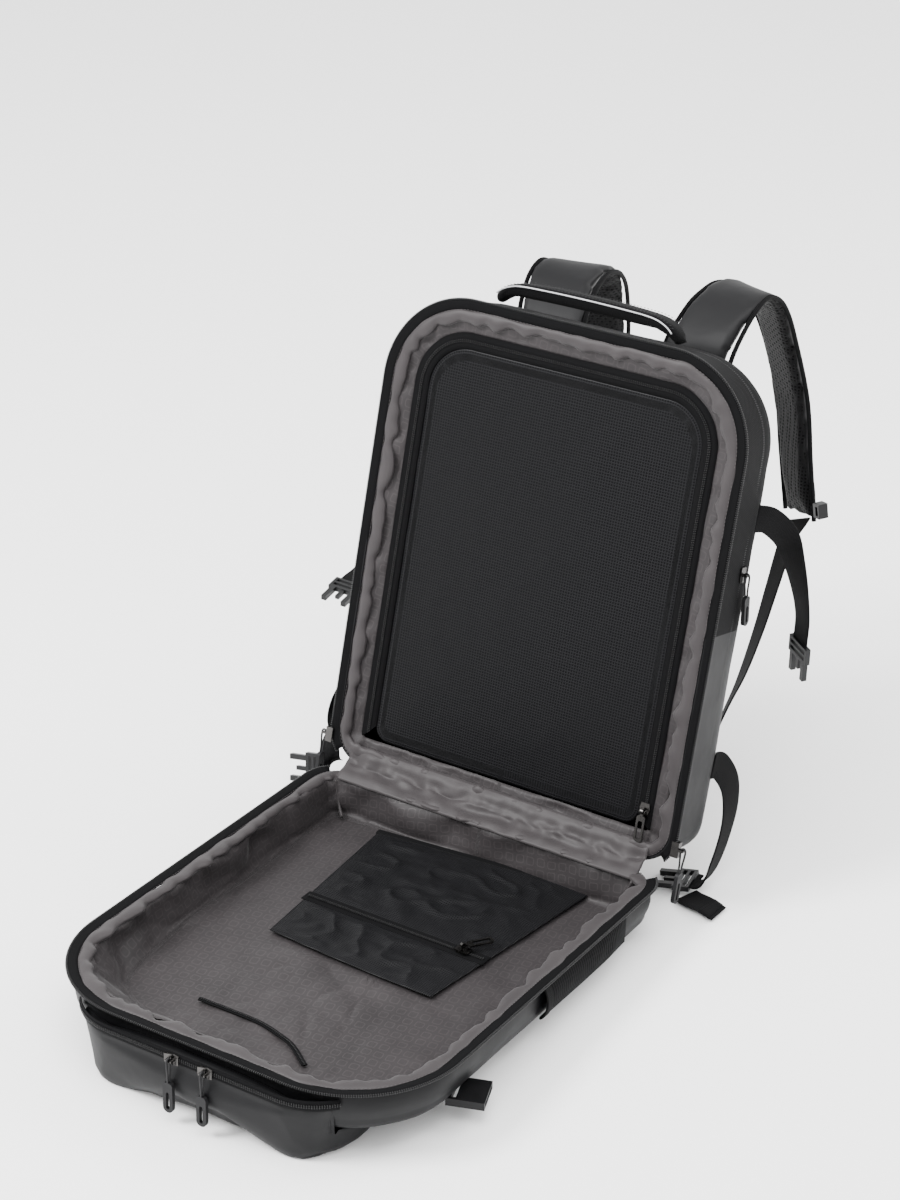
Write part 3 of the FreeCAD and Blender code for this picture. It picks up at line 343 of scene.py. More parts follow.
def inflate(obj, pressure=4.0, voxel=5.0, cap=8.0, frames=20):
    """Pad a closed form with a short cloth simulation; a point moves at most cap mm."""
    mod = obj.modifiers.new("even mesh", "REMESH")
    mod.mode = "VOXEL"
    mod.voxel_size = voxel * MM
    apply_modifiers(obj)
    start = np.array([v.co[:] for v in obj.data.vertices])
    cloth = obj.modifiers.new("padding", "CLOTH")
    cloth.settings.use_pressure = True
    cloth.settings.uniform_pressure_force = pressure
    cloth.settings.effector_weights.gravity = 0
    cloth.settings.quality = 5
    scene = bpy.context.scene
    for step in range(1, frames + 1):
        scene.frame_set(step)
    apply_modifiers(obj)
    scene.frame_set(1)
    end = np.array([v.co[:] for v in obj.data.vertices])
    shift = end - start
    size = np.linalg.norm(shift, axis=1)
    limit = np.minimum(1.0, cap * MM / np.maximum(size, 1e-9))
    obj.data.vertices.foreach_set("co", (start + shift * limit[:, None]).astype(np.float32).ravel())
    obj.data.update()
    sub = obj.modifiers.new("smooth", "SUBSURF")
    sub.levels = sub.render_levels = 1
    apply_modifiers(obj)
    obj.data.polygons.foreach_set("use_smooth", [True] * len(obj.data.polygons))
    return obj


# ------------------------------------------------------------------ repeats along a line


def repeat_tree():
    """Geometry Nodes: small rounded grains set along a line, each turned to it."""
    tree = bpy.data.node_groups.new("grains along a line", "GeometryNodeTree")
    face = tree.interface
    face.new_socket("Geometry", in_out="INPUT", socket_type="NodeSocketGeometry")
    for label, kind in (("Spacing", "NodeSocketFloat"), ("Grain Size", "NodeSocketVector"),
                        ("Up", "NodeSocketVector"), ("Material", "NodeSocketMaterial")):
        face.new_socket(label, in_out="INPUT", socket_type=kind)
    face.new_socket("Geometry", in_out="OUTPUT", socket_type="NodeSocketGeometry")

    def node(kind, values=(), **settings):
        return add_node(tree, kind, values, **settings)

    given = node("NodeGroupInput").outputs
    dots = node("GeometryNodeCurveToPoints", {"Curve": given["Geometry"], "Length": given["Spacing"]},
                mode="LENGTH")
    upright = node("FunctionNodeAlignRotationToVector", {"Vector": given["Up"]}, axis="Z")
    turned = node("FunctionNodeAlignRotationToVector",
                  {"Rotation": upright.outputs[0], "Vector": dots.outputs["Tangent"]}, axis="X",
                  pivot_axis="Z")
    grain = node("GeometryNodeMeshUVSphere", {"Segments": 8, "Rings": 5, "Radius": 0.5})
    placed = node("GeometryNodeInstanceOnPoints",
                  {"Points": dots.outputs["Points"], "Instance": grain.outputs["Mesh"],
                   "Rotation": turned.outputs[0], "Scale": given["Grain Size"]})
    real = node("GeometryNodeRealizeInstances", {"Geometry": placed.outputs[0]})
    shaded = node("GeometryNodeSetShadeSmooth", {"Geometry": real.outputs[0]})
    painted = node("GeometryNodeSetMaterial",
                   {"Geometry": shaded.outputs[0], "Material": given["Material"]})
    node("NodeGroupOutput", {"Geometry": painted.outputs[0]})
    return tree


def grains(name, lines, spacing, size, up, material):
    """Grains along polylines in metres, made by the repeat tree into one plain mesh."""
    tree = bpy.data.node_groups.get("grains along a line") or repeat_tree()
    curve = bpy.data.curves.new(name, "CURVE")
    curve.dimensions = "3D"
    for points, closed in lines:
        spline = curve.splines.new("POLY")
        spline.points.add(len(points) - 1)
        for dot, p in zip(spline.points, points):
            dot.co = (*p, 1.0)
        spline.use_cyclic_u = closed
    holder = add_object(name + "_path", curve)
    mod = holder.modifiers.new("grains", "NODES")
    mod.node_group = tree
    names = {s.name: s.identifier for s in tree.interface.items_tree if s.in_out == "INPUT"}
    mod[names["Spacing"]] = spacing * MM
    mod[names["Grain Size"]] = tuple(s * MM for s in size)
    mod[names["Up"]] = tuple(up)
    mod[names["Material"]] = material
    bpy.context.view_layer.update()
    graph = bpy.context.evaluated_depsgraph_get()
    mesh = bpy.data.meshes.new_from_object(holder.evaluated_get(graph), depsgraph=graph)
    bpy.data.objects.remove(holder)
    bpy.data.curves.remove(curve)
    mesh.name = name
    return add_object(name, mesh)


def sew(name, lines, spacing, size, up, material, body, slot):
    """Stitches or coil turns along lines, finished and fixed to their body."""
    return finish_piece(grains(name, lines, spacing, size, up, MATERIALS[material]), None, body, slot)


# ------------------------------------------------------------------ finishes


def linear(code):
    """An sRGB hex colour as linear RGBA."""
    parts = [int(code[i:i + 2], 16) / 255 for i in (1, 3, 5)]
    return tuple(c / 12.92 if c <= 0.04045 else ((c + 0.055) / 1.055) ** 2.4 for c in parts) + (1.0,)


def add_node(tree, kind, values=(), **settings):
    """Add a node with its settings, and set or link its inputs."""
    made = tree.nodes.new(kind)
    for key, value in settings.items():
        setattr(made, key, value)
    for key, value in dict(values).items():
        if isinstance(value, bpy.types.NodeSocket):
            tree.links.new(value, made.inputs[key])
        else:
            made.inputs[key].default_value = value
    return made


def start_material(name, rough, **fixed):
    """A principled material; fixed values go on the shader's own sockets."""
    material = bpy.data.materials.new(name)
    material.use_nodes = True
    tree = material.node_tree
    shader = tree.nodes["Principled BSDF"]
    shader.inputs["Roughness"].default_value = rough
    for key, value in fixed.items():
        shader.inputs[key.replace("_", " ")].default_value = value
    return material, tree, shader


def surface_place(tree, by_uv):
    """Where a pattern is read: along the cloth or in the object's space, in metres."""
    if by_uv:
        return add_node(tree, "ShaderNodeUVMap", uv_map="cloth").outputs["UV"]
    return add_node(tree, "ShaderNodeTexCoord").outputs["Object"]


def threads(tree, place, pitch):
    """Crossing threads of a plain weave, 0 to 1; pitch in mm."""
    scaled = add_node(tree, "ShaderNodeMapping", {"Vector": place, "Scale": (1000 / pitch,) * 3}).outputs[0]
    parts = add_node(tree, "ShaderNodeSeparateXYZ", {0: scaled}).outputs
    waves = []
    for axis in range(3):
        turned = add_node(tree, "ShaderNodeMath", {0: parts[axis], 1: math.pi},
                          operation="MULTIPLY").outputs[0]
        waves.append(add_node(tree, "ShaderNodeMath", {0: turned}, operation="SINE").outputs[0])
    first = add_node(tree, "ShaderNodeMath", {0: waves[0], 1: waves[1]}, operation="MULTIPLY").outputs[0]
    second = add_node(tree, "ShaderNodeMath", {0: waves[1], 1: waves[2]}, operation="MULTIPLY").outputs[0]
    both = add_node(tree, "ShaderNodeMath", {0: first, 1: second}, operation="ADD").outputs[0]
    return add_node(tree, "ShaderNodeMath", {0: both, 1: 0.5, 2: 0.5}, operation="MULTIPLY_ADD").outputs[0]


def mottle(tree, place, scale, detail=4.0):
    """Slow uneven wear, 0 to 1; scale in mm."""
    return add_node(tree, "ShaderNodeTexNoise",
                    {"Vector": place, "Scale": 1000 / scale, "Detail": detail}).outputs["Fac"]


def blend_colours(tree, factor, low, high):
    """A colour between two hex colours."""
    ramp = add_node(tree, "ShaderNodeValToRGB", {"Fac": factor})
    ramp.color_ramp.elements[0].color = linear(low)
    ramp.color_ramp.elements[1].color = linear(high)
    return ramp.outputs["Color"]


def relief(tree, shader, layers):
    """Stack of bumps: (height socket, distance in mm, strength)."""
    normal = None
    for height, distance, strength in layers:
        values = {"Height": height, "Distance": distance * MM, "Strength": strength}
        if normal is not None:
            values["Normal"] = normal
        normal = add_node(tree, "ShaderNodeBump", values).outputs["Normal"]
    tree.links.new(normal, shader.inputs["Normal"])


def woven(name, dark, light, pitch, rough, by_uv=False, depth=0.25, crease=0.4, contrast=0.55, **fixed):
    """Woven cloth: crossing threads, slow unevenness and fine creases."""
    material, tree, shader = start_material(name, rough, **fixed)
    place = surface_place(tree, by_uv)
    weave = threads(tree, place, pitch)
    wear = mottle(tree, place, 38.0)
    mixed = add_node(tree, "ShaderNodeMath", {0: weave, 1: contrast, 2: 0.25 - contrast * 0.45},
                     operation="MULTIPLY_ADD").outputs[0]
    factor = add_node(tree, "ShaderNodeMath", {0: wear, 1: 0.5, 2: mixed},
                      operation="MULTIPLY_ADD").outputs[0]
    tree.links.new(blend_colours(tree, factor, dark, light), shader.inputs["Base Color"])
    span = add_node(tree, "ShaderNodeMapRange",
                    {"Value": wear, "To Min": rough - 0.08, "To Max": rough + 0.08})
    tree.links.new(span.outputs[0], shader.inputs["Roughness"])
    relief(tree, shader, [(mottle(tree, place, 14.0), 0.8, crease), (weave, depth, 0.6)])
    return material


def coated_cloth(name, dark, light, rough, **fixed):
    """Film-coated polyester: almost smooth, faintly pebbled, with long soft creases that catch the light."""
    material, tree, shader = start_material(name, rough, **fixed)
    place = surface_place(tree, False)
    wear = mottle(tree, place, 60.0, 5.0)
    tree.links.new(blend_colours(tree, wear, dark, light), shader.inputs["Base Color"])
    span = add_node(tree, "ShaderNodeMapRange",
                    {"Value": wear, "To Min": rough - 0.07, "To Max": rough + 0.1})
    tree.links.new(span.outputs[0], shader.inputs["Roughness"])
    grain = add_node(tree, "ShaderNodeTexVoronoi",
                     {"Vector": place, "Scale": 1000 / 0.9}).outputs["Distance"]
    relief(tree, shader, [(mottle(tree, place, 30.0, 2.0), 1.6, 0.5), (grain, 0.08, 0.35)])
    return material


def lining_cloth(name, dark, light, motif, by_uv=True):
    """Polyester jacquard lining: a fine twill with a woven motif of round-cornered squares."""
    material, tree, shader = start_material(name, 0.55, Specular_IOR_Level=0.2, Sheen_Weight=0.08,
                                            Sheen_Roughness=0.4)
    place = surface_place(tree, by_uv)
    weave = threads(tree, place, 0.9)
    cells = add_node(tree, "ShaderNodeMapping", {"Vector": place, "Scale": (1000 / 11.0,) * 3,
                                                 "Rotation": (0, 0, math.radians(8))}).outputs[0]
    inside = add_node(tree, "ShaderNodeVectorMath", {0: cells}, operation="FRACTION").outputs[0]
    centred = add_node(tree, "ShaderNodeVectorMath", {0: inside, 1: (0.5, 0.5, 0.0)},
                       operation="SUBTRACT").outputs[0]
    size = add_node(tree, "ShaderNodeVectorMath", {0: centred}, operation="ABSOLUTE").outputs[0]
    parts = add_node(tree, "ShaderNodeSeparateXYZ", {0: size}).outputs
    powers = [add_node(tree, "ShaderNodeMath", {0: parts[i], 1: 5.0},
                       operation="POWER").outputs[0] for i in (0, 1)]
    total = add_node(tree, "ShaderNodeMath", {0: powers[0], 1: powers[1]}, operation="ADD").outputs[0]
    radius = add_node(tree, "ShaderNodeMath", {0: total, 1: 0.2}, operation="POWER").outputs[0]
    ring = add_node(tree, "ShaderNodeMath", {0: radius, 1: 0.33}, operation="SUBTRACT").outputs[0]
    ring = add_node(tree, "ShaderNodeMath", {0: ring}, operation="ABSOLUTE").outputs[0]
    line = add_node(tree, "ShaderNodeMapRange", {"Value": ring, "From Min": 0.025, "From Max": 0.05,
                                                 "To Min": motif, "To Max": 0.0}).outputs[0]
    wear = mottle(tree, place, 45.0)
    shade = add_node(tree, "ShaderNodeMath", {0: wear, 1: 0.6, 2: line},
                     operation="MULTIPLY_ADD").outputs[0]
    shade = add_node(tree, "ShaderNodeMath", {0: weave, 1: 0.08, 2: shade},
                     operation="MULTIPLY_ADD").outputs[0]
    tree.links.new(blend_colours(tree, shade, dark, light), shader.inputs["Base Color"])
    span = add_node(tree, "ShaderNodeMapRange", {"Value": line, "To Min": 0.54, "To Max": 0.36})
    tree.links.new(span.outputs[0], shader.inputs["Roughness"])
    relief(tree, shader, [(mottle(tree, place, 20.0, 3.0), 1.5, 0.55), (weave, 0.03, 0.4),
                          (line, 0.15, 0.5)])
    return material


def open_mesh(name, thread, hole_shade, pitch, by_uv=False, depth=0.5, rough=0.55):
    """Knitted mesh: shiny thread between holes in a staggered grid; the holes are painted dark as shade seen
    through them.
    """
    material, tree, shader = start_material(name, rough, Specular_IOR_Level=0.12)
    place = surface_place(tree, by_uv)
    cells = add_node(tree, "ShaderNodeTexVoronoi",
                     {"Vector": place, "Scale": 1000 / pitch, "Randomness": 0.12},
                     feature="DISTANCE_TO_EDGE").outputs["Distance"]
    opening = add_node(tree, "ShaderNodeMapRange",
                       {"Value": cells, "From Min": 0.12, "From Max": 0.28}).outputs[0]
    # The hole colour is painted shade: the dark of the space seen through each opening.
    tree.links.new(blend_colours(tree, opening, thread, hole_shade), shader.inputs["Base Color"])
    rougher = add_node(tree, "ShaderNodeMapRange",
                       {"Value": opening, "To Min": rough - 0.14, "To Max": 0.95})
    tree.links.new(rougher.outputs[0], shader.inputs["Roughness"])
    lowered = add_node(tree, "ShaderNodeMath", {0: 1.0, 1: opening}, operation="SUBTRACT").outputs[0]
    relief(tree, shader, [(mottle(tree, place, 30.0, 2.0), 1.2, 0.35), (lowered, depth, 0.9)])
    return material


def ribbed(name, dark, light, pitch, rough, along=1, depth=0.5, **fixed):
    """Ribbed narrow fabric: webbing, zip tape or elastic, with ribs across its length."""
    material, tree, shader = start_material(name, rough, **fixed)
    place = surface_place(tree, True)
    parts = add_node(tree, "ShaderNodeSeparateXYZ", {0: place}).outputs
    ribs = []
    for axis, step in ((along, pitch), (1 - along, pitch * 1.7)):
        scaled = add_node(tree, "ShaderNodeMath", {0: parts[axis], 1: 2000 * math.pi / step},
                          operation="MULTIPLY")
        ribs.append(add_node(tree, "ShaderNodeMath", {0: scaled.outputs[0]}, operation="SINE").outputs[0])
    both = add_node(tree, "ShaderNodeMath", {0: ribs[1], 1: 0.35, 2: ribs[0]},
                    operation="MULTIPLY_ADD").outputs[0]
    height = add_node(tree, "ShaderNodeMath", {0: both, 1: 0.37, 2: 0.5},
                      operation="MULTIPLY_ADD").outputs[0]
    tree.links.new(blend_colours(tree, height, dark, light), shader.inputs["Base Color"])
    relief(tree, shader, [(height, depth, 0.7)])
    return material


def moulded(name, base, lighter, rough, grain=0.6, scale=0.35, **fixed):
    """Moulded or cast surface with a fine spark texture and slight unevenness."""
    material, tree, shader = start_material(name, rough, **fixed)
    place = surface_place(tree, False)
    wear = mottle(tree, place, 9.0)
    tree.links.new(blend_colours(tree, wear, base, lighter), shader.inputs["Base Color"])
    span = add_node(tree, "ShaderNodeMapRange",
                    {"Value": wear, "To Min": rough - 0.08, "To Max": rough + 0.1})
    tree.links.new(span.outputs[0], shader.inputs["Roughness"])
    spark = add_node(tree, "ShaderNodeTexNoise",
                     {"Vector": place, "Scale": 1000 / scale, "Detail": 2.0}).outputs["Fac"]
    relief(tree, shader, [(spark, 0.05, grain)])
    return material


MATERIALS = {}


def make_materials(colours):
    """Every finish of the bag."""
    add = MATERIALS.__setitem__
    # Plain-woven polyester, matte: the weave scatters the light, so it reads as soft near-black.
    add("shell", woven("woven polyester", colours.shell_dark, colours.shell_light, 1.1, 0.85,
                       Specular_IOR_Level=0.08, Sheen_Weight=0.02))
    # Film laminated on cloth: a satin sheen along every curve.
    add("coated", coated_cloth("coated polyester", colours.coated_dark, colours.coated_light, 0.5,
                               Specular_IOR_Level=0.17))
    # Jacquard lining, satin taupe with a slightly brighter motif.
    add("lining", lining_cloth("jacquard polyester lining", colours.lining_dark, colours.lining_light,
                               0.34))
    # The same yarn cut on the bias round the rims, without the motif.
    add("binding", woven("folded lining tape", colours.lining_dark, colours.binding_light, 0.8, 0.5,
                         by_uv=True,
                         depth=0.02, crease=0.6, contrast=0.1, Specular_IOR_Level=0.2, Sheen_Weight=0.08))
    # Warp-knitted mesh over the dark inside of the back half; its holes are painted near-black, part the
    # dark cloth behind and part painted shade.
    add("mesh", open_mesh("warp-knitted mesh", "#0f0f11", "#010102", 2.6, by_uv=True))
    # Finer mesh of the small pocket; its holes are painted near-black as painted shade, though the lining
    # behind is taupe.
    add("net", open_mesh("fine knitted net", "#101012", "#020203", 1.9, by_uv=True, depth=0.4))
    # Spacer mesh on the pads: larger cells, matt; its holes are painted near-black, part the black inner
    # knit and part painted shade.
    add("spacer", open_mesh("spacer mesh", "#0b0b0c", "#020203", 3.4, depth=0.9, rough=0.75))
    # Nylon webbing: ribs across its length.
    add("webbing", ribbed("woven nylon webbing", "#030304", "#0a0a0b", 1.3, 0.78, depth=0.35,
                          Specular_IOR_Level=0.1))
    # Zip tape: fine woven ribs.
    add("tape", ribbed("woven zip tape", "#030304", "#09090a", 0.9, 0.8, depth=0.2,
                       Specular_IOR_Level=0.08))
    # Extruded nylon coil: a small hard highlight on each turn.
    add("coil", moulded("extruded nylon coil", "#060607", "#0d0d0e", 0.34, grain=0.1,
                        Specular_IOR_Level=0.3))
    # Elastic knit with cords in it.
    add("elastic", ribbed("ribbed elastic knit", "#020203", "#09090a", 3.2, 0.85, depth=0.9,
                          Specular_IOR_Level=0.1))
    # Spun sewing thread.
    add("thread", woven("bonded sewing thread", "#0c0c0e", "#1a1a1d", 0.4, 0.55, Specular_IOR_Level=0.3))
    add("pale_thread", woven("taupe sewing thread", "#2c292a", "#454142", 0.4, 0.55))
    # Glass-bead film: a pale grey line that mirrors the light back.
    add("reflective", moulded("glass-bead reflective film", "#8a8a8c", "#b2b2b4", 0.35, grain=0.3,
                              scale=0.5, Metallic=0.3))
    # Injection-moulded acetal with a fine spark texture.
    add("acetal", moulded("moulded acetal", "#070708", "#0f0f11", 0.42, Specular_IOR_Level=0.25))
    # Die-cast zinc, gunmetal plated: dark neutral grey, bright on edges.
    add("gunmetal", moulded("gunmetal plated zinc", "#3a3938", "#565453", 0.27, grain=0.2, Metallic=1.0))
    # Soft moulded rubber, matte with a faint bloom.
    add("rubber", moulded("moulded rubber", "#0b0b0c", "#161618", 0.55, grain=0.8, Specular_IOR_Level=0.2))
    # Braided cord.
    add("cord", ribbed("braided polyester cord", "#060607", "#151517", 1.6, 0.65, along=0, depth=0.3,
                       Specular_IOR_Level=0.3))


def finish_piece(obj, material, body, slot, *nodes):
    """Give a piece its finish and its body, and hide the nodes it stands for; slot is not used."""
    if material is not None:
        obj.data.materials.clear()
        obj.data.materials.append(MATERIALS[material])
    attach(obj, body)
    if nodes:
        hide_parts(*nodes)
    return obj


# ------------------------------------------------------------------ settings that a user would change


class BagColours(bpy.types.PropertyGroup):
    """Colours of the cloths, as sRGB hex."""
    shell_dark: bpy.props.StringProperty(name="Shell dark", description="Deepest tone of the woven shell",
                                         default="#030304")
    shell_light: bpy.props.StringProperty(name="Shell light",
                                          description="Lightest tone of the woven shell", default="#09090a")
    coated_dark: bpy.props.StringProperty(name="Coated dark",
                                          description="Deepest tone of the coated cloth", default="#050506")
    coated_light: bpy.props.StringProperty(name="Coated light",
                                           description="Lightest tone of the coated cloth",
                                           default="#0b0b0d")
    lining_dark: bpy.props.StringProperty(name="Lining dark", description="Deepest tone of the lining",
                                          default="#191718")
    lining_light: bpy.props.StringProperty(name="Lining light", description="Lightest tone of the lining",
                                           default="#353132")
    binding_light: bpy.props.StringProperty(name="Binding light",
                                            description="Lightest tone of the rim tape", default="#393536")


class BagSizes(bpy.types.PropertyGroup):
    """Sizes of the soft shapes."""
    pucker: bpy.props.FloatProperty(name="Pucker", description="Depth of the puckers along the rims, mm",
                                    default=3.6, min=0, unit="NONE")
    bulge: bpy.props.FloatProperty(name="Bulge", description="How far the shell's walls belly out, mm",
                                   default=3.0, min=0, unit="NONE")
    slack: bpy.props.FloatProperty(name="Slack", description="Depth of the lining's creases, mm",
                                   default=9.0, min=0, unit="NONE")
    tooth_spacing: bpy.props.FloatProperty(name="Tooth spacing",
                                           description="Spacing of the main zip's coil, mm",
                                           default=1.9, min=1.0, unit="NONE")


# ------------------------------------------------------------------ pieces


def split_at_seam(obj, keep_far):
    """Cut a piece of the back half at the seam and keep one side."""
    bm = bmesh.new()
    bm.from_mesh(obj.data)
    bmesh.ops.bisect_plane(bm, geom=bm.verts[:] + bm.edges[:] + bm.faces[:], plane_co=BACK.at(0, SEAM, 0),
                           plane_no=Vector(BACK.along), clear_inner=keep_far, clear_outer=not keep_far)
    bm.to_mesh(obj.data)
    bm.free()
    obj.data.update()


def tray(name, half, depth, radius, bulge, seed):
    """Outer cloth of one half: walls that belly a little, a rounded edge and the outer face."""
    run, total = half.outline(0)[3:]
    soft = wave(run, total, 70, seed) * 0.8
    rings = [(-1.0, -5.4, 0.0), (0.0, -6.0, 0.0)]
    deep = depth - radius
    for share in (0.15, 0.3, 0.45, 0.6, 0.75, 0.9):
        swell = bulge * math.sin(math.pi * share)
        rings.append((0.0, -6.0 - (deep - 3.0) * share, swell + soft * swell * 0.6))
    for k in range(7):
        a = math.pi / 2 * k / 6
        rings.append((-radius + radius * math.cos(a), -3.0 - deep - radius * math.sin(a), soft * 0.3))
    floor = [(share, 0.0) for share in (0.97, 0.92, 0.85, 0.76, 0.66, 0.55, 0.43, 0.3, 0.17, 0.06)]
    obj = band(name, half, rings, floor=floor)
    push(obj, lambda p: (creases(p, 55.0, seed, (1, 1, 0.6)) - 0.55) * 0.7 * MM)
    return thicken(obj, 2.2, offset=-1.0)


def build_shells(sizes):
    """The three outer cloths and the stitches along the seam."""
    for name, keep_far, material, slot, node in (
            ("back_shell_top_cloth", True, "shell", "shell_fabric", "back_shell_upper"),
            ("back_shell_base_cloth", False, "coated", "coated_fabric", "back_shell_lower")):
        obj = tray(name, BACK, 78.0, 24.0, 0.0, 3.1)
        split_at_seam(obj, keep_far)
        finish_piece(obj, material, "back_half", slot, node)
    lid = tray("lid_shell_cloth", LID, 42.0, 12.0, sizes.bulge, 5.7)
    finish_piece(lid, "coated", "lid", "coated_fabric", "lid_shell")
    lines = []
    for side in (1, -1):
        wall = [BACK.at(side * 175.5, SEAM + 3, z) for z in np.linspace(-8, -56, 20)]
        rear = [BACK.at(side * x, SEAM + 3, -81.6) for x in np.linspace(152, 118, 12)]
        lines += [(wall, False), (rear, False)]
    sew("seam_stitches", lines, 3.6, (2.6, 0.7, 0.7), BACK.along, "thread", "back_half", "shell_fabric")
    for side in (1, -1):
        edge = [BACK.at(side * 175.4, SEAM, z) for z in np.linspace(-7, -57, 16)]
        turn = [BACK.at(side * (151 + 24.3 * math.cos(a)), SEAM, -57 - 24.3 * math.sin(a))
                for a in np.linspace(0.1, math.pi / 2, 10)]
        path = np.array(edge + turn)
        fold = strap("seam_fold_%s" % ("right" if side > 0 else "left"), path,
                     [BACK.along] * len(path), [3.4] * len(path), 1.3)[0]
        finish_piece(fold, "shell", "back_half", "shell_fabric")


def roll(name, half, grow, z, across, high, pucker, seed):
    """A gathered roll of cloth round a rim."""
    run, total = half.outline(0)[3:]
    waves = wave(run, total, 13, seed) + 0.6 * wave(run, total, 30, seed + 4)
    fat = 1.0 + 0.22 * wave(run, total, 17, seed + 9)
    rings = []
    for k in range(13):
        a = 2 * math.pi * k / 12
        inner = 0.5 - 0.5 * math.cos(a)
        rings.append((grow, z + high * np.sin(a) * fat + 0.35 * pucker * waves * inner,
                      across * math.cos(a) * fat - pucker * waves * inner))
    obj = band(name, half, rings)
    tidy_normals(obj, 1e-6)
    return obj


def past_hinge(stop):
    """Columns farther from the hinge than this."""
    return lambda d, x: d > stop


def zip_tape(name, half, rings, keep, thickness=0.9):
    """Flat woven tape of a zip."""
    return thicken(band(name, half, rings, keep=keep), thickness, offset=0.0)


def rim_line(half, grow, z, keep=None):
    """Points in metres along a rim."""
    x, d = half.outline(grow)[:2]
    points = half.many(x, d, z)
    if keep is None:
        return points, True
    inside = keep(half.outline(0)[1], x)
    start = int(np.argmax(inside & ~np.roll(inside, 1)))
    order = [i for i in np.roll(np.arange(len(x)), -start) if inside[i]]
    return points[order], False


def build_rims(sizes):
    """Rolled tape, zip tape, coil and stitches round both rims."""
    for half, word in ((BACK, "back"), (LID, "lid")):
        rim = roll("%s_rim_roll" % word, half, -6.6, -5.6, 6.2, 3.0, sizes.pucker,
                   2.0 if word == "back" else 8.0)
        finish_piece(rim, "binding", half.body, "taupe_binding", "%s_binding" % word)
        keep = past_hinge(RIM_START + 9)
        run, total = half.outline(0)[3:]
        sway = wave(run, total, 60, 1.3) * 0.25
        tape = zip_tape("%s_main_tape" % word, half,
                        [(-1.5, -4.6, 0.0), (1.5, -3.8 + sway, 0.0), (5.0, -3.4 + sway, 0.0),
                         (8.4, -3.4, 0.0)], keep)
        finish_piece(tape, "tape", half.body, "zip_coil", "main_zip_%s" % word)
        sew("%s_main_coil" % word, [rim_line(half, 8.2, -3.4, keep)], sizes.tooth_spacing, (1.5, 2.6, 2.5),
            half.out, "coil", half.body, "zip_coil")
        sew("%s_rim_stitches" % word, [rim_line(half, -1.4, -3.6)], 3.4, (2.4, 0.6, 0.5), half.out,
            "pale_thread", half.body, "taupe_binding")


def build_back_inside(sizes):
    """Gathered lining, the divider's zip and mesh, and the padded laptop divider."""
    run, total = BACK.outline(0)[3:]
    waves = wave(run, total, 16, 21.0) + 0.7 * wave(run, total, 34, 25.0)
    lining = band("back_gathered_lining", BACK, [
        (-9.0, -6.5, 0.0), (-12.0, -7.6 + waves * 1.6, waves * 0.9),
        (-14.5, -8.0 + waves * 2.2, waves * 1.0), (-17.0, -8.4 + waves * 2.0, waves * 0.8),
        (-19.5, -8.8 + waves * 1.2, waves * 0.4), (-23.2, -9.4, 0.0)])
    lining = thicken(lining, 1.0)
    finish_piece(lining, "lining", "back_half", "taupe_lining", "back_lining")
    keep = past_hinge(16.0)
    tape = zip_tape("divider_tape", BACK,
                    [(-22.0, -8.9, 0.0), (-26.0, -8.7, 0.0), (-32.5, -8.7, 0.0), (-36.4, -9.0, 0.0)],
                    keep)
    finish_piece(tape, "tape", "back_half", "zip_coil", "divider_zip")
    lines = [rim_line(BACK, -29.2 + offset, -7.6, keep) for offset in (-0.75, 0.75)]
    sew("divider_coil", lines, 2.0, (1.3, 1.7, 1.5), BACK.out, "coil", "back_half", "zip_coil")
    floor = [(share, (1 - share ** 2) * 2.5) for share in np.linspace(0.97, 0.05, 24)]
    mesh = band("divider_mesh_panel", DIVIDER, [(0.0, -9.6, 0.0), (-2.0, -9.2, 0.0), (-5.0, -8.8, 0.0)],
                floor=floor)
    push(mesh, lambda p: creases(p, 80.0, 4.4) * 0.8 * MM)
    thicken(mesh, 0.7)
    finish_piece(mesh, "mesh", "back_half", "black_mesh", "divider_mesh")
    sleeve = band("laptop_divider_pad", BACK,
                  [(-9.0, -57.0, 0.0), (-7.0, -56.0, 0.0), (-6.0, -55.4, 0.0), (-10.0, -55.1, 0.0)],
                  floor=[(share, 0.0) for share in (0.9, 0.75, 0.55, 0.3, 0.1)])
    thicken(sleeve, 3.0)
    finish_piece(sleeve, "shell", "back_half", "sleeve_fabric", "laptop_sleeve")


def build_laptop_zip(sizes):
    """Zip over the back half's side and top, to the laptop space."""
    keep = past_hinge(90.0)
    tape = zip_tape("laptop_tape", BACK,
                    [(0.9, -42.0, 0.0), (1.2, -45.0, 0.0), (1.2, -53.0, 0.0), (0.9, -56.0, 0.0)], keep)
    finish_piece(tape, "tape", "back_half", "zip_coil", "laptop_zip")
    lines = [rim_line(BACK, 2.0, -49.0 + offset, keep) for offset in (-0.8, 0.8)]
    sew("laptop_coil", lines, 2.0, (1.3, 1.5, 1.8), BACK.out, "coil", "back_half", "zip_coil")
    lines = [rim_line(BACK, 1.4, z, keep) for z in (-41.6, -56.4)]
    sew("laptop_zip_stitches", lines, 3.6, (2.5, 0.6, 0.6), BACK.out, "thread", "back_half", "shell_fabric")


def lid_depth_at(d):
    """How far the lining's wall leans in from the rim, by distance from the hinge."""
    return 6.0 + 26.0 * np.clip((d - 250) / 170, 0, 1) ** 1.5


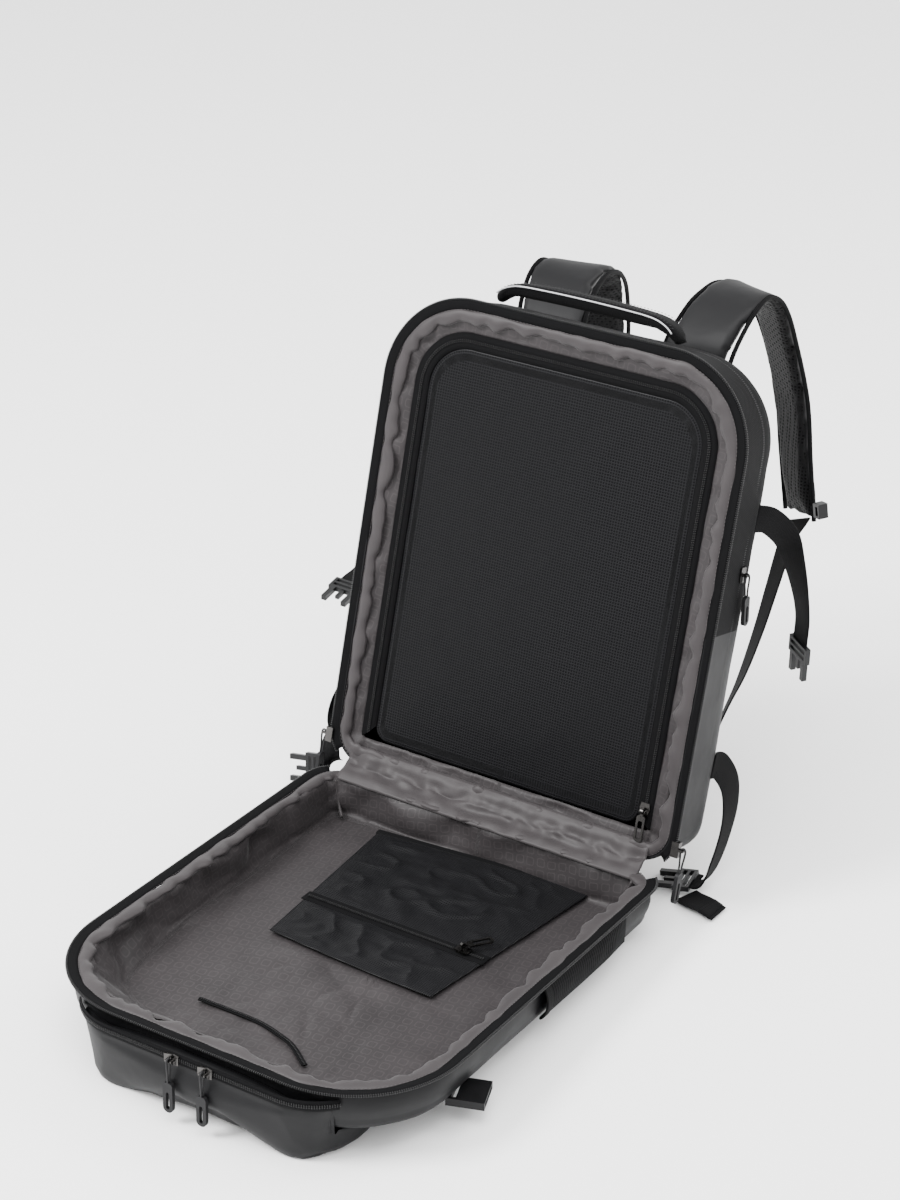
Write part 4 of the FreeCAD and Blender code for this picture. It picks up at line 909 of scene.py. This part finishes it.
def build_lid_inside(sizes):
    """Creased lining tray of the lid, with bound corners near the hinge."""
    d0, _, run, total = LID.outline(0)[1:]
    lean = lid_depth_at(d0)
    waves = wave(run, total, 24, 31.0) + 0.6 * wave(run, total, 11, 37.0)
    fold = wave(run, total, 48, 41.0)
    rings = [(-9.0, -6.0, 0.0), (-11.5, -8.5 + waves, -lean * 0.05 + waves * 1.6)]
    for share in (0.12, 0.2, 0.3, 0.4, 0.5, 0.6, 0.7, 0.8, 0.88, 0.95):
        rings.append((-12.5, -8.0 - 29.0 * share + waves * (1 - share) * 1.2,
                      -lean * share + fold * sizes.slack * share * (1 - share) * 2.6
                      + waves * (1 - share) ** 1.5 * 2.8))
    rings.append((-14.0, -37.6, -lean * 1.02))
    lining = band("lid_lining_cloth", LID, rings,
                  floor=[(share, -0.4) for share in np.linspace(0.98, 0.04, 44)], flip=True)
    tidy_normals(lining, 1e-7)
    inward = Vector(LID.out)

    def slack(p):
        deep = (p - LID.at(0, 0, -37)).dot(inward) / MM
        d = (p - LID.at(0, 0, 0)).dot(Vector(LID.along)) / MM
        flat = max(0.0, min(1.0, 1 - deep / 6))
        quiet = 0.2 if d < 240 and abs(p.x) < 0.12 else 1.0
        broad = creases(p, 62.0, 2.2, (0.55, 1.0, 1.0)) * sizes.slack * 0.62
        fine = creases(p, 27.0, 6.1, (1.0, 0.5, 1.0)) * sizes.slack * 0.3
        return max(-1.5, min(3.0, (broad + fine) * quiet + 1.6 * flat)) * MM
    push(lining, slack)
    thicken(lining, 0.9)
    finish_piece(lining, "lining", "lid", "taupe_lining", "lid_lining")
    line = smooth_line([(158, 20, -7), (155, 22, -18), (150, 25, -30), (142, 32, -36.5)], 6)
    for side in (1, -1):
        path = [LID.at(side * x, d, z) for x, d, z in line]
        tape = strap("corner_tape_%s" % ("right" if side > 0 else "left"), path,
                     [Vector((0.7 * side, 0.7, 0))] * len(path), [5.0] * len(path), 2.4)[0]
        finish_piece(tape, "binding", "lid", "taupe_binding")


def build_gusset(sizes):
    """Gathered lining that crosses the hinge from one half to the other."""
    rows, uvs = [], []
    xs = np.linspace(-158, 158, 130)
    profile = [(BACK, 19.0, -6.5), (BACK, 13.0, -2.2), (BACK, 7.0, -0.6), (BACK, 3.0, 1.8), (LID, 3.0, 1.8),
               (LID, 7.0, -0.6),
               (LID, 13.0, -2.2), (LID, 19.0, -6.5)]
    base = np.array([[half.at(0, d, z)[1:] for half, d, z in profile]])[0]
    path = smooth_line(base, 3)
    for x in xs:
        for k, (y, z) in enumerate(path):
            share = math.sin(math.pi * k / (len(path) - 1))
            ripple = (noise.noise(Vector((x / 13.0, k * 0.14, 5.0))) * 2.2
                      + noise.noise(Vector((x / 30.0, k * 0.1, 7.0))) * 1.6)
            rows.append((x * MM, y - ripple * share * 0.9 * MM,
                         z + ripple * share * sizes.pucker * 0.4 * MM))
            uvs.append((x * MM, k * 2.0 * MM))
    faces = grid_faces(len(xs), len(path), False)
    gusset = new_object("hinge_lining", rows, faces, uvs)
    thicken(gusset, 1.0, offset=0.0)
    tidy_normals(gusset, 1e-7)
    gusset.data.materials.append(MATERIALS["binding"])
    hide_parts("hinge_gusset")
    BACK.at(0, 9.0, -1.0)
    LID.at(0, 9.0, -1.0)
    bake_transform(gusset)


def rounded_distance(x, d, half, grow=0.0):
    """How far a point lies outside a rounded rectangle, and the way out."""
    near, far = half.radii
    middle = half.start + half.length / 2
    r = (far if d > middle else near)
    qx = abs(x) - (half.half_width - r)
    qd = abs(d - middle) - (half.length / 2 - r)
    if qx > 0 and qd > 0:
        size = math.hypot(qx, qd)
        return size - r - grow, (math.copysign(qx / size, x), math.copysign(qd / size, d - middle))
    if qx > qd:
        return qx - r - grow, (math.copysign(1, x), 0)
    return qd - r - grow, (0, math.copysign(1, d - middle))


def build_front_pocket(sizes):
    """Padded pocket under the lid, with its zip."""
    d0 = POCKET.outline(0)[1]
    top = -45.6 + 37.0 * np.clip((d0 - 414) / 14, 0, 1)
    base = -(HINGE_Z + d0 * math.sin(SLOPE)) / math.cos(SLOPE)
    rings = [(-14.0, np.full_like(top, -46.0), 0.0), (-13.0, top, 0.0), (-2.5, top, 0.0),
             (-1.0, top - 4.0, 0.0), (-1.0, (top + base) / 2, 0.0), (-1.5, base + 9.0, 0.0),
             (-6.0, base + 3.0, 0.0), (-14.0, base + 1.5, 0.0)]
    floor = [(share, 0.0) for share in (0.9, 0.75, 0.55, 0.3, 0.1)]
    body = band("front_pocket_cloth", POCKET, rings, floor=floor)
    bm = bmesh.new()
    bm.from_mesh(body.data)
    bmesh.ops.holes_fill(bm, edges=[e for e in bm.edges if e.is_boundary])
    bmesh.ops.remove_doubles(bm, verts=bm.verts, dist=1e-6)
    bmesh.ops.recalc_face_normals(bm, faces=bm.faces)
    bm.to_mesh(body.data)
    bm.free()
    inflate(body, pressure=4.0, voxel=5.5, cap=8.0)
    place = np.array([v.co[:] for v in body.data.vertices])
    moved = []
    for p in place:
        q = Vector(p) / MM - Vector(HINGE)
        x, d, z = q.x, q.dot(Vector(LID.along)), q.dot(Vector(LID.out))
        inside_lid = rounded_distance(x, d, LID)[0] < 0.5
        if inside_lid and z > -46.5:
            z = -46.0
        limit = 0.2 + 6.0 * min(1.0, max(0.0, (-24 - z) / 14))
        gap, way = rounded_distance(x, d, POCKET, limit)
        if gap > 0:
            x, d = x - way[0] * gap, d - way[1] * gap
        here = LID.at(x, d, z)
        here.z = max(here.z, 0.0004)
        moved.append(here)
    for v, co in zip(body.data.vertices, moved):
        v.co = co
    push(body, lambda p: creases(p, 60.0, 9.9, (1, 1, 1.4)) * (0.9 if p.z > 0.006 else 0.0) * MM)
    finish_piece(body, "coated", "lid", "shell_fabric", "front_pocket")
    keep = past_hinge(424.0)
    tape = zip_tape("front_pocket_tape", POCKET,
                    [(0.9, -9.4, 0.0), (1.2, -12.0, 0.0), (1.2, -16.0, 0.0), (0.9, -18.6, 0.0)],
                    keep)
    finish_piece(tape, "tape", "lid", "zip_coil", "front_pocket_zip")
    lines = [rim_line(POCKET, 2.0, -14.0 + offset, keep) for offset in (-0.8, 0.8)]
    sew("front_pocket_coil", lines, 2.0, (1.3, 1.5, 1.8), LID.out, "coil", "lid", "zip_coil")


def build_mesh_pocket(sizes):
    """Two slack mesh panels either side of their zip, on the lid's lining."""
    left = lambda d: -100 + 18 * (d - 14) / 222
    right = lambda d: 116 - 28 * (d - 14) / 222
    for word, near, far in (("near", 14.0, 158.0), ("far", 170.0, 236.0)):
        rows, uvs = [], []
        count_x, count_d = 96, 60 if word == "near" else 36
        for j in range(count_d):
            v = j / (count_d - 1)
            for i in range(count_x):
                u = i / (count_x - 1)
                d = near + (far - near) * v
                if word == "near":
                    d += 22 * (1 - v) ** 2 * (1 - u)
                else:
                    d -= 8 * v * v * (1 - u) ** 2
                x = left(d) + (right(d) - left(d)) * u
                edge = min(1.0, 6 * min(u, 1 - u, v, 1 - v))
                q = Vector((x / 34, d / 20, 3.3 if word == "near" else 8.8))
                folds = (1 - abs(noise.noise(q)) * 2.4) ** 2 * 3.2 + noise.noise(q * 2.1) * 1.1
                z = -35.4 + max(0.0, folds + 0.8) * edge
                rows.append(LID.at(x, d, z))
                uvs.append((x * MM, d * MM))
        obj = new_object("mesh_pocket_%s" % word, rows, grid_faces(count_d, count_x, False), uvs)
        thicken(obj, 0.6, offset=0.0)
        finish_piece(obj, "net", "lid", "black_mesh", *(["mesh_pocket"] if word == "near" else []))
    path = [LID.at(x, 164.0, -34.9) for x in np.linspace(-90, 98, 40)]
    tape = strap("mesh_pocket_tape", path, [LID.along] * 40, [14.0] * 40, 0.9)[0]
    finish_piece(tape, "tape", "lid", "zip_coil", "mesh_pocket_zip")
    lines = [([LID.at(x, 164.0 + o, -33.7) for x in (-86, 94)], False) for o in (-0.8, 0.8)]
    sew("mesh_pocket_coil", lines, 2.0, (1.3, 1.7, 1.5), LID.out, "coil", "lid", "zip_coil")
    edge = []
    for u in np.linspace(0, 1, 30):
        edge.append(LID.at(left(20) + (right(14) - left(20)) * u, 14 + 22 * (1 - u), -35.2))
    hem = strap("mesh_pocket_hem", edge, [LID.along] * 30, [7.0] * 30, 1.6)[0]
    finish_piece(hem, "webbing", "lid", "black_mesh")
    curve = smooth_line([(-70, 345, -37.0), (-40, 344.5, -37.0), (-9, 345, -37.0), (14, 350, -37.0),
                         (33, 357, -37.0), (57, 374, -36.6)], 6)
    path = [LID.at(*q) for q in curve]
    slit = strap("inner_pocket_tape", path, [LID.along] * len(path), [5.0] * len(path), 1.2)[0]
    finish_piece(slit, "tape", "lid", "zip_coil", "inner_pocket_zip")
    lines = [([p + Vector(LID.out) * MM for p in path], False)]
    sew("inner_pocket_coil", lines, 2.0, (1.3, 1.8, 1.2), LID.out, "coil", "lid", "zip_coil")


def build_bottle_pockets(sizes):
    """Ribbed stretch pocket on each side of the lid, gathered at its mouth."""
    for side, word in ((1, "right"), (-1, "left")):
        rows, uvs = [], []
        count_d, count_z = 70, 26
        for i in range(count_d):
            u = i / (count_d - 1)
            d = 64.0 + 141.0 * u
            for k in range(count_z):
                w = k / (count_z - 1)
                z = BOTTLE_FLOOR + BOTTLE_RISE * w
                swell = math.sin(math.pi * min(1.0, w * 1.02)) ** 0.55 if 0 < w < 1 else 0.0
                open_up = min(1.0, u * 4.0) ** 0.6
                out = 0.6 + 8.0 * swell * open_up
                out += noise.noise(Vector((d / 17, z / 12, side * 3.0))) * 0.6 * swell
                rows.append(LID.at(side * (HALF_WIDTH + out), d, z + 1.5 * math.sin(u * 9) * swell * 0.3))
                uvs.append((z * MM, d * MM))
        obj = new_object("bottle_pocket_%s" % word, rows, grid_faces(count_d, count_z, False), uvs)
        thicken(obj, 1.3, offset=0.0)
        tidy_normals(obj, 1e-7)
        hem_path = [LID.at(side * (HALF_WIDTH + 0.6 + 8.2 * math.sin(math.pi * w) ** 0.55), 204.0,
                           BOTTLE_FLOOR + BOTTLE_RISE * w)
                    for w in np.linspace(0.01, 0.99, 30)]
        hem = strap("bottle_pocket_hem_%s" % word, hem_path, [LID.along] * 30, [8.0] * 30, 2.2)[0]
        finish_piece(obj, "elastic", "lid", "stretch_fabric", *(["bottle_pockets"] if side > 0 else []))
        finish_piece(hem, "webbing", "lid", "stretch_fabric")


def cushion(name, half, left, right, near, far, base, height, voxel=5.0, cap=4.0):
    """A padded form on the back half's rear face."""
    bm = bmesh.new()
    bmesh.ops.create_cube(bm, size=1.0)
    bmesh.ops.bevel(bm, geom=bm.edges[:], offset=0.12, segments=3, affect="EDGES")
    for v in bm.verts:
        x = (left + right) / 2 + v.co.x * (right - left - 4)
        d = (near + far) / 2 + v.co.y * (far - near - 4)
        z = base - height / 2 + v.co.z * height * 0.9
        v.co = half.at(x, d, z)
    mesh = bpy.data.meshes.new(name)
    bm.to_mesh(mesh)
    bm.free()
    obj = add_object(name, mesh)
    tidy_normals(obj)
    return inflate(obj, voxel=voxel, cap=cap)


def build_back_panel(sizes):
    """Two ribbed cushions with sewn channels, and the strap yoke."""
    for side, word in ((1, "right"), (-1, "left")):
        a, b = sorted((side * 20.0, side * 116.0))
        pad = cushion("back_cushion_%s" % word, BACK, a, b, 28.0, 358.0, -81.4, 12.0)

        def channel(p):
            d = (p - BACK.at(0, 0, 0)).dot(Vector(BACK.along)) / MM
            nearest = min(abs(d - line) for line in CHANNELS)
            return -4.0 * math.exp(-(nearest / 4.5) ** 2) * MM
        push(pad, channel)
        finish_piece(pad, "spacer", "back_half", "black_mesh", *(["back_pads"] if side > 0 else []))
    yoke = cushion("strap_yoke", BACK, -118.0, 118.0, 384.0, 418.0, -81.4, 11.0, voxel=4.0, cap=3.0)
    finish_piece(yoke, "shell", "back_half", "shell_fabric", "shoulder_yoke")


STRAP_ROOT = (75.0, 411.2, -99.3)
STRAP_RISE = [(0, 22, -1), (3, 44, -9), (7, 68, -26), (10, 80, -50), (14, 72, -84), (20, 42, -118)]
STRAP_DROP = [(29, -18, -156), (39, -75, -168), (49, -132, -180)]
STRAP_TWIST = [0, 0, -4, -10, -20, -28, -34, -34, -34, -34]
STRAP_WIDTHS = [68, 68, 68, 68, 65.7, 63.3, 61, 58.7, 56.3, 54]
WEBBING_DROP = [(1, -4, 0), (3, -24, 26), (10, -60, 56), (17, -98, 86), (25, -134, 124), (31, -158, 160),
                (34, -184, 186)]


def back_vector(x, v, z):
    """Direction in the back half's frame."""
    return Vector((x, 0, 0)) + Vector(BACK.along) * v + Vector(BACK.out) * z


def build_shoulder_straps(sizes):
    """Padded straps with smooth tops and mesh undersides, and the webbing below them."""
    for side, word in ((1, "right"), (-1, "left")):
        rise = 1.0 if side > 0 else 0.84
        steps = [(0, 0, 0)] + [(x, y * rise, z) for x, y, z in STRAP_RISE] + STRAP_DROP
        rows = []
        for (x, y, z), width, twist in zip(steps, STRAP_WIDTHS, STRAP_TWIST):
            rows.append((side * (STRAP_ROOT[0] + x), STRAP_ROOT[1] + y, STRAP_ROOT[2] + z, width, twist))
        line = smooth_line(rows, 8)
        centres = [BACK.at(*r[:3]) for r in line]
        across = [back_vector(math.cos(math.radians(r[4])) * side, 0,
                              -math.sin(math.radians(r[4]))) for r in line]
        widths = [r[3] for r in line]
        body = strap("shoulder_strap_pad_%s" % word, centres, across, [w - 3 for w in widths], 8.5)[0]
        inflate(body, pressure=5.0, voxel=4.5, cap=3.0)
        body.data.materials.append(MATERIALS["coated"])
        body.data.materials.append(MATERIALS["spacer"])
        spots = np.array([c[:] for c in centres])
        ups = []
        for i in range(len(centres)):
            t = centres[min(i + 1, len(centres) - 1)] - centres[max(i - 1, 0)]
            ups.append(t.cross(across[i]).normalized() * side)
        for face in body.data.polygons:
            nearest = int(np.argmin(((spots - np.array(face.center)) ** 2).sum(1)))
            face.material_index = 1 if face.normal.dot(ups[nearest]) > 0.35 else 0
        finish_piece(body, None, "shoulder_strap_" + word, "strap_fabric", "shoulder_strap_" + word)
        for edge, offset in (("outer", 0.5), ("inner", -0.5)):
            tips = []
            for i, (c, a, w) in enumerate(zip(centres, across, widths)):
                t = (centres[min(i + 1, len(centres) - 1)] - centres[max(i - 1, 0)]).normalized()
                a = (a - t * a.dot(t)).normalized()
                tips.append(c + a * (w - 1.5) * offset * MM)
            tips = tips[2:]
            piping = strap("strap_edge_%s_%s" % (edge, word), tips, across[2:], [4.2] * len(tips), 4.6)[0]
            finish_piece(piping, "webbing", "shoulder_strap_" + word, "strap_fabric")
        end = np.array(STRAP_ROOT) + np.array(STRAP_DROP[-1])
        start_across, end_across = back_vector(0.83 * side, 0, 0.56), back_vector(0.35 * side, 0.85, 0.4)
        rows = []
        for i, p in enumerate(WEBBING_DROP):
            q = end + np.array(p)
            rows.append((q[0] * side, q[1], q[2], i / (len(WEBBING_DROP) - 1)))
        line = smooth_line(rows, 8)
        path = [BACK.at(*r[:3]) for r in line]
        turn = [start_across * (1 - r[3]) + end_across * r[3] for r in line]
        webbing, run = strap("shoulder_webbing_strap_%s" % word, path, turn, [WEBBING_WIDTH] * len(path),
                             WEBBING_THICK)
        webbing.data.materials.append(MATERIALS["webbing"])
        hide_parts("shoulder_webbing_" + word)
        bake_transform(webbing)


ROUTES = {
    "upper_right": ([(1.8, 313, -60), (9, 311, -74), (16, 297, -96), (19, 274, -116), (20, 243, -141),
                     (20, 214, -160), (19, 190, -168)], (0.8, 0, 0.6)),
    "upper_left": ([(2.6, 313, -60), (7, 312, -70), (12, 302, -84), (22, 272, -104), (36, 226, -118),
                    (48, 182, -115), (55, 156, -98), (53, 147, -74)], (0.9, 0.2, -0.3)),
    "lower_right": ([(2.2, 86, -64), (5, 84, -74), (11, 66, -88), (14, 40, -92), (14, 12, -88),
                     (12, -12, -80), (8, -24, -72), (1, -25.3, -71)], (0, 0.28, -0.96)),
    "lower_left": ([(2, 86, -68), (10, 74, -50), (17, 52, -30), (18, 24, -19), (13, -4, -16),
                    (14, -20, -18), (22, -21.5, -18.5)], (0, 1, 0)),
}
SPARE_END = [(3, -35, -55), (12, -35, -51), (28, -34.5, -46), (41, -38, -46)]


def build_compression_straps(sizes):
    """Loose webbing straps at the sides, one with its spare end."""
    for label, (offsets, end_across) in ROUTES.items():
        side = 1 if label.endswith("right") else -1
        rows = []
        for i, (x, v, z) in enumerate(offsets):
            rows.append(((HALF_WIDTH + x) * side, v, z, min(i / (len(offsets) - 2), 1)))
        line = smooth_line(rows, 8)
        start, end = back_vector(0, 1, 0), back_vector(end_across[0] * side, end_across[1], end_across[2])
        path = [BACK.at(*r[:3]) for r in line]
        turn = [start * (1 - r[3]) + end * r[3] for r in line]
        obj, run = strap("compression_webbing_%s" % label, path, turn, [WEBBING_WIDTH] * len(path),
                         WEBBING_THICK)
        finish_piece(obj, "webbing", "compression_" + label, "webbing", "compression_strap_" + label)
        if label == "lower_right":
            line = smooth_line(SPARE_END, 8)
            path = [BACK.at(HALF_WIDTH + r[0], r[1], r[2]) for r in line]
            spare, run = strap("spare_webbing", path, [back_vector(0, 0.28, -0.96)] * len(path),
                               [WEBBING_WIDTH] * len(path), WEBBING_THICK)
            finish_piece(spare, "webbing", "compression_" + label, "webbing")
            fold = strap("spare_webbing_fold", path[-9:-2], [back_vector(0, 0.28, -0.96)] * 7, [25.4] * 7,
                         3.4)[0]
            finish_piece(fold, "webbing", "compression_" + label, "webbing")


def build_handle(sizes):
    """Arched padded handle with its reflective piping."""
    side = [(-91, 449.5), (-88, 455.5), (-80, 461.5), (-66, 465.5), (-36, 466.8), (0, 467.2)]
    line = smooth_line(side + [(-x, v) for x, v in side[-2::-1]], 6)
    centres = [BACK.at(x, v, -30.0) for x, v in line]
    widths = [min(26.0, 12.0 + 1.1 * (v - 449.5)) for x, v in line]
    grip = strap("carry_handle_grip", centres, [BACK.out] * len(centres), widths, 10.0)[0]
    inflate(grip, pressure=4.0, voxel=3.5, cap=2.5)
    finish_piece(grip, "shell", "carry_handle", "handle_fabric", "handle_grip")
    edge = [BACK.at(x, v + 3.8, -15.6) for x, v in line[6:-6]]
    piping = strap("carry_handle_piping", edge, [BACK.out] * len(edge), [1.4] * len(edge), 1.4)[0]
    finish_piece(piping, "reflective", "carry_handle", "reflective_piping", "handle_piping")
    lines = [([BACK.at(x, v + 6.0, z) for x, v in line[8:-8]], False) for z in (-20.0, -40.0)]
    sew("carry_handle_stitches", lines, 3.4, (2.3, 0.6, 0.6), BACK.along, "thread", "carry_handle",
        "handle_fabric")


HOUSINGS = [(162, 322, 20), (128, 30, 0)]


def build_tabs(sizes):
    """Sewn webbing tabs behind the buckle housings."""
    count = 0
    for side in (1, -1):
        for x, d, turn in HOUSINGS:
            angle = math.radians(turn if side > 0 else 180 - turn)
            along = Vector((math.cos(angle), math.sin(angle)))
            across = Vector((-math.sin(angle), math.cos(angle)))
            path = []
            for step in np.linspace(-20.0, -0.4, 12):
                p = Vector((x * side, -d)) + along * step
                path.append(LID.at(p.x, -p.y, -46.1))
            turned = Vector((across.x, 0, 0)) - Vector(LID.along) * across.y
            count += 1
            tab = strap("buckle_tab_%d" % count, path, [turned] * 12, [WEBBING_WIDTH] * 12,
                        WEBBING_THICK)[0]
            finish_piece(tab, "webbing", "lid", "webbing", *(["buckle_tabs"] if count == 1 else []))


RIGID = {"gunmetal": ["slider_main_right", "slider_main_left", "slider_laptop", "slider_front_left",
                      "slider_front_right", "slider_divider", "slider_mesh", "pull_divider", "pull_mesh"],
         "rubber": ["pull_main_right", "pull_main_left", "pull_laptop", "pull_front_left",
                    "pull_front_right"],
         "acetal": ["female_buckles", "male_buckle_upper_right", "male_buckle_upper_left",
                    "male_buckle_lower_right", "male_buckle_lower_left", "sternum_slider_right",
                    "sternum_slider_left"]}


def finish_rigid_parts():
    """Finishes of the moulded and cast parts."""
    for material, names in RIGID.items():
        for name in names:
            for slot in frame["nodes"][name].material_slots:
                slot.material = MATERIALS[material]


CORD_ROUTE = [(-1.1, -20.0), (-1.2, -12.5), (-2.2, -5.0), (-2.3, 2.4), (2.3, 2.4), (2.2, -5.0),
              (1.2, -12.5), (1.1, -20.0)]
# Which way each pull stands off its slider, and which way its cord rises.
HANGS = {"main_right": ((1, 0, 0), BACK.along), "main_left": ((-1, 0, 0), BACK.along),
         "laptop": ((1, 0, 0), (0, 0, 1)), "front_left": (LID.along, LID.out),
         "front_right": (LID.along, LID.out)}


def build_cords(sizes):
    """Braided cord loop of each rubber pull."""
    pivots = {j["name"]: Vector(j["pos_m"]) for j in frame["joints"] if j["name"].startswith("pull_")}
    for name, (outward, up) in HANGS.items():
        curve = bpy.data.curves.new("pull_cord_" + name, "CURVE")
        curve.dimensions = "3D"
        spline = curve.splines.new("NURBS")
        spline.points.add(len(CORD_ROUTE) - 1)
        base = pivots["pull_%s_swing" % name]
        dots = [base + (Vector(outward) * x + Vector(up) * z) * MM for x, z in CORD_ROUTE]
        for point, dot in zip(spline.points, dots):
            point.co = (*dot, 1.0)
        spline.order_u = 3
        spline.use_endpoint_u = True
        spline.resolution_u = 8
        curve.bevel_depth = 0.9 * MM
        curve.bevel_resolution = 3
        curve.use_fill_caps = True
        obj = add_object("pull_cord_" + name, curve)
        finish_piece(obj, "cord", "pull_" + name, "pull_cord", "cord_" + name)


# ------------------------------------------------------------------ stage


def build_stage():
    """Pale floor, soft lights and the camera."""
    floor = bpy.data.meshes.new("floor")
    size = 14.0
    floor.from_pydata([(-size, -size, 0), (size, -size, 0), (size, size, 0), (-size, size, 0)], [],
                      [(0, 1, 2, 3)])
    obj = add_object("floor", floor)
    obj.location.z = -0.0005
    material, _, shader = start_material("matte white paint", 0.9)
    shader.inputs["Base Color"].default_value = linear("#fafafa")
    floor.materials.append(material)
    world = bpy.data.worlds.new("studio")
    bpy.context.scene.world = world
    world.use_nodes = True
    back = world.node_tree.nodes["Background"]
    back.inputs["Color"].default_value = linear("#ffffff")
    back.inputs["Strength"].default_value = 2.0
    for name, spot, aim, size, power in (
            ("key light", (-1.6, -1.6, 2.6), (0, 0.1, 0.2), 1.2, 190.0),
            ("rim light", (1.5, 2.0, 1.9), (0, 0.3, 0.3), 1.2, 40.0),
            ("top light", (0.3, -0.4, 2.8), (0, 0.1, 0.1), 2.2, 80.0)):
        lamp = bpy.data.lights.new(name, "AREA")
        lamp.shape = "DISK"
        lamp.size = size
        lamp.energy = power
        holder = add_object(name, lamp)
        holder.location = spot
        holder.rotation_mode = "QUATERNION"
        holder.rotation_quaternion = (Vector(aim) - Vector(spot)).to_track_quat("-Z", "Y")
    camera = bpy.data.cameras.new("camera")
    camera.lens = 87.0
    camera.sensor_width = 36.0
    camera.clip_end = 50.0
    viewer = add_object("camera", camera)
    viewer.location = (1.1668, -1.6425, 1.4532)
    yaw, pitch = math.radians(32.63), math.radians(28.02)
    forward = Vector((-math.sin(yaw) * math.cos(pitch), math.cos(yaw) * math.cos(pitch), -math.sin(pitch)))
    viewer.rotation_mode = "QUATERNION"
    viewer.rotation_quaternion = forward.to_track_quat("-Z", "Y")
    bpy.context.scene.camera = viewer


# ------------------------------------------------------------------ operators


class BACKPACK_OT_finishes(bpy.types.Operator):
    """Make the cloths, plastics and metals"""
    bl_idname = "backpack.finishes"
    bl_label = "Finishes"

    def execute(self, context):
        make_materials(context.scene.backpack_colours)
        finish_rigid_parts()
        return {"FINISHED"}


class BACKPACK_OT_shells(bpy.types.Operator):
    """Make the outer cloths of both halves"""
    bl_idname = "backpack.shells"
    bl_label = "Outer cloths"

    def execute(self, context):
        build_shells(context.scene.backpack_sizes)
        return {"FINISHED"}


class BACKPACK_OT_rims(bpy.types.Operator):
    """Make the rolled rims and the main zip"""
    bl_idname = "backpack.rims"
    bl_label = "Rims and main zip"

    def execute(self, context):
        build_rims(context.scene.backpack_sizes)
        return {"FINISHED"}


class BACKPACK_OT_back_inside(bpy.types.Operator):
    """Make the back half's lining, divider and laptop zip"""
    bl_idname = "backpack.back_inside"
    bl_label = "Back half inside"

    def execute(self, context):
        build_back_inside(context.scene.backpack_sizes)
        build_laptop_zip(context.scene.backpack_sizes)
        return {"FINISHED"}


class BACKPACK_OT_lid_inside(bpy.types.Operator):
    """Make the lid's lining and the lining over the hinge"""
    bl_idname = "backpack.lid_inside"
    bl_label = "Lid inside"

    def execute(self, context):
        build_lid_inside(context.scene.backpack_sizes)
        build_gusset(context.scene.backpack_sizes)
        return {"FINISHED"}


class BACKPACK_OT_pockets(bpy.types.Operator):
    """Make the front, mesh and bottle pockets"""
    bl_idname = "backpack.pockets"
    bl_label = "Pockets"

    def execute(self, context):
        build_front_pocket(context.scene.backpack_sizes)
        build_mesh_pocket(context.scene.backpack_sizes)
        build_bottle_pockets(context.scene.backpack_sizes)
        return {"FINISHED"}


class BACKPACK_OT_back_panel(bpy.types.Operator):
    """Make the back panel's cushions and the yoke"""
    bl_idname = "backpack.back_panel"
    bl_label = "Back panel"

    def execute(self, context):
        build_back_panel(context.scene.backpack_sizes)
        return {"FINISHED"}


class BACKPACK_OT_straps(bpy.types.Operator):
    """Make the shoulder straps, compression straps and tabs"""
    bl_idname = "backpack.straps"
    bl_label = "Straps"

    def execute(self, context):
        build_shoulder_straps(context.scene.backpack_sizes)
        build_compression_straps(context.scene.backpack_sizes)
        build_tabs(context.scene.backpack_sizes)
        return {"FINISHED"}


class BACKPACK_OT_handle(bpy.types.Operator):
    """Make the carry handle"""
    bl_idname = "backpack.handle"
    bl_label = "Carry handle"

    def execute(self, context):
        build_handle(context.scene.backpack_sizes)
        return {"FINISHED"}


class BACKPACK_OT_cords(bpy.types.Operator):
    """Make the cord loops of the zip pulls"""
    bl_idname = "backpack.cords"
    bl_label = "Pull cords"

    def execute(self, context):
        build_cords(context.scene.backpack_sizes)
        return {"FINISHED"}


class BACKPACK_OT_stage(bpy.types.Operator):
    """Make the floor, the lights and the camera"""
    bl_idname = "backpack.stage"
    bl_label = "Stage"

    def execute(self, context):
        build_stage()
        return {"FINISHED"}


OPERATORS = [BACKPACK_OT_stage, BACKPACK_OT_finishes, BACKPACK_OT_cords, BACKPACK_OT_shells,
             BACKPACK_OT_rims,
             BACKPACK_OT_back_inside, BACKPACK_OT_lid_inside, BACKPACK_OT_pockets, BACKPACK_OT_back_panel,
             BACKPACK_OT_straps, BACKPACK_OT_handle]


class BACKPACK_PT_panel(bpy.types.Panel):
    """Backpack pieces"""
    bl_idname = "BACKPACK_PT_panel"
    bl_label = "Backpack"
    bl_space_type = "VIEW_3D"
    bl_region_type = "UI"
    bl_category = "Backpack"

    def draw(self, context):
        for group in (context.scene.backpack_colours, context.scene.backpack_sizes):
            for key in group.__annotations__:
                self.layout.prop(group, key)
        for operator in OPERATORS:
            self.layout.operator(operator.bl_idname)


CLASSES = [BagColours, BagSizes, *OPERATORS, BACKPACK_PT_panel]


def register():
    for cls in CLASSES:
        bpy.utils.register_class(cls)
    bpy.types.Scene.backpack_colours = bpy.props.PointerProperty(type=BagColours)
    bpy.types.Scene.backpack_sizes = bpy.props.PointerProperty(type=BagSizes)


def unregister():
    del bpy.types.Scene.backpack_sizes
    del bpy.types.Scene.backpack_colours
    for cls in reversed(CLASSES):
        bpy.utils.unregister_class(cls)


def main():
    register()
    for operator in OPERATORS:
        group, name = operator.bl_idname.split(".")
        getattr(getattr(bpy.ops, group), name)()


if __name__ == "__main__":
    main()
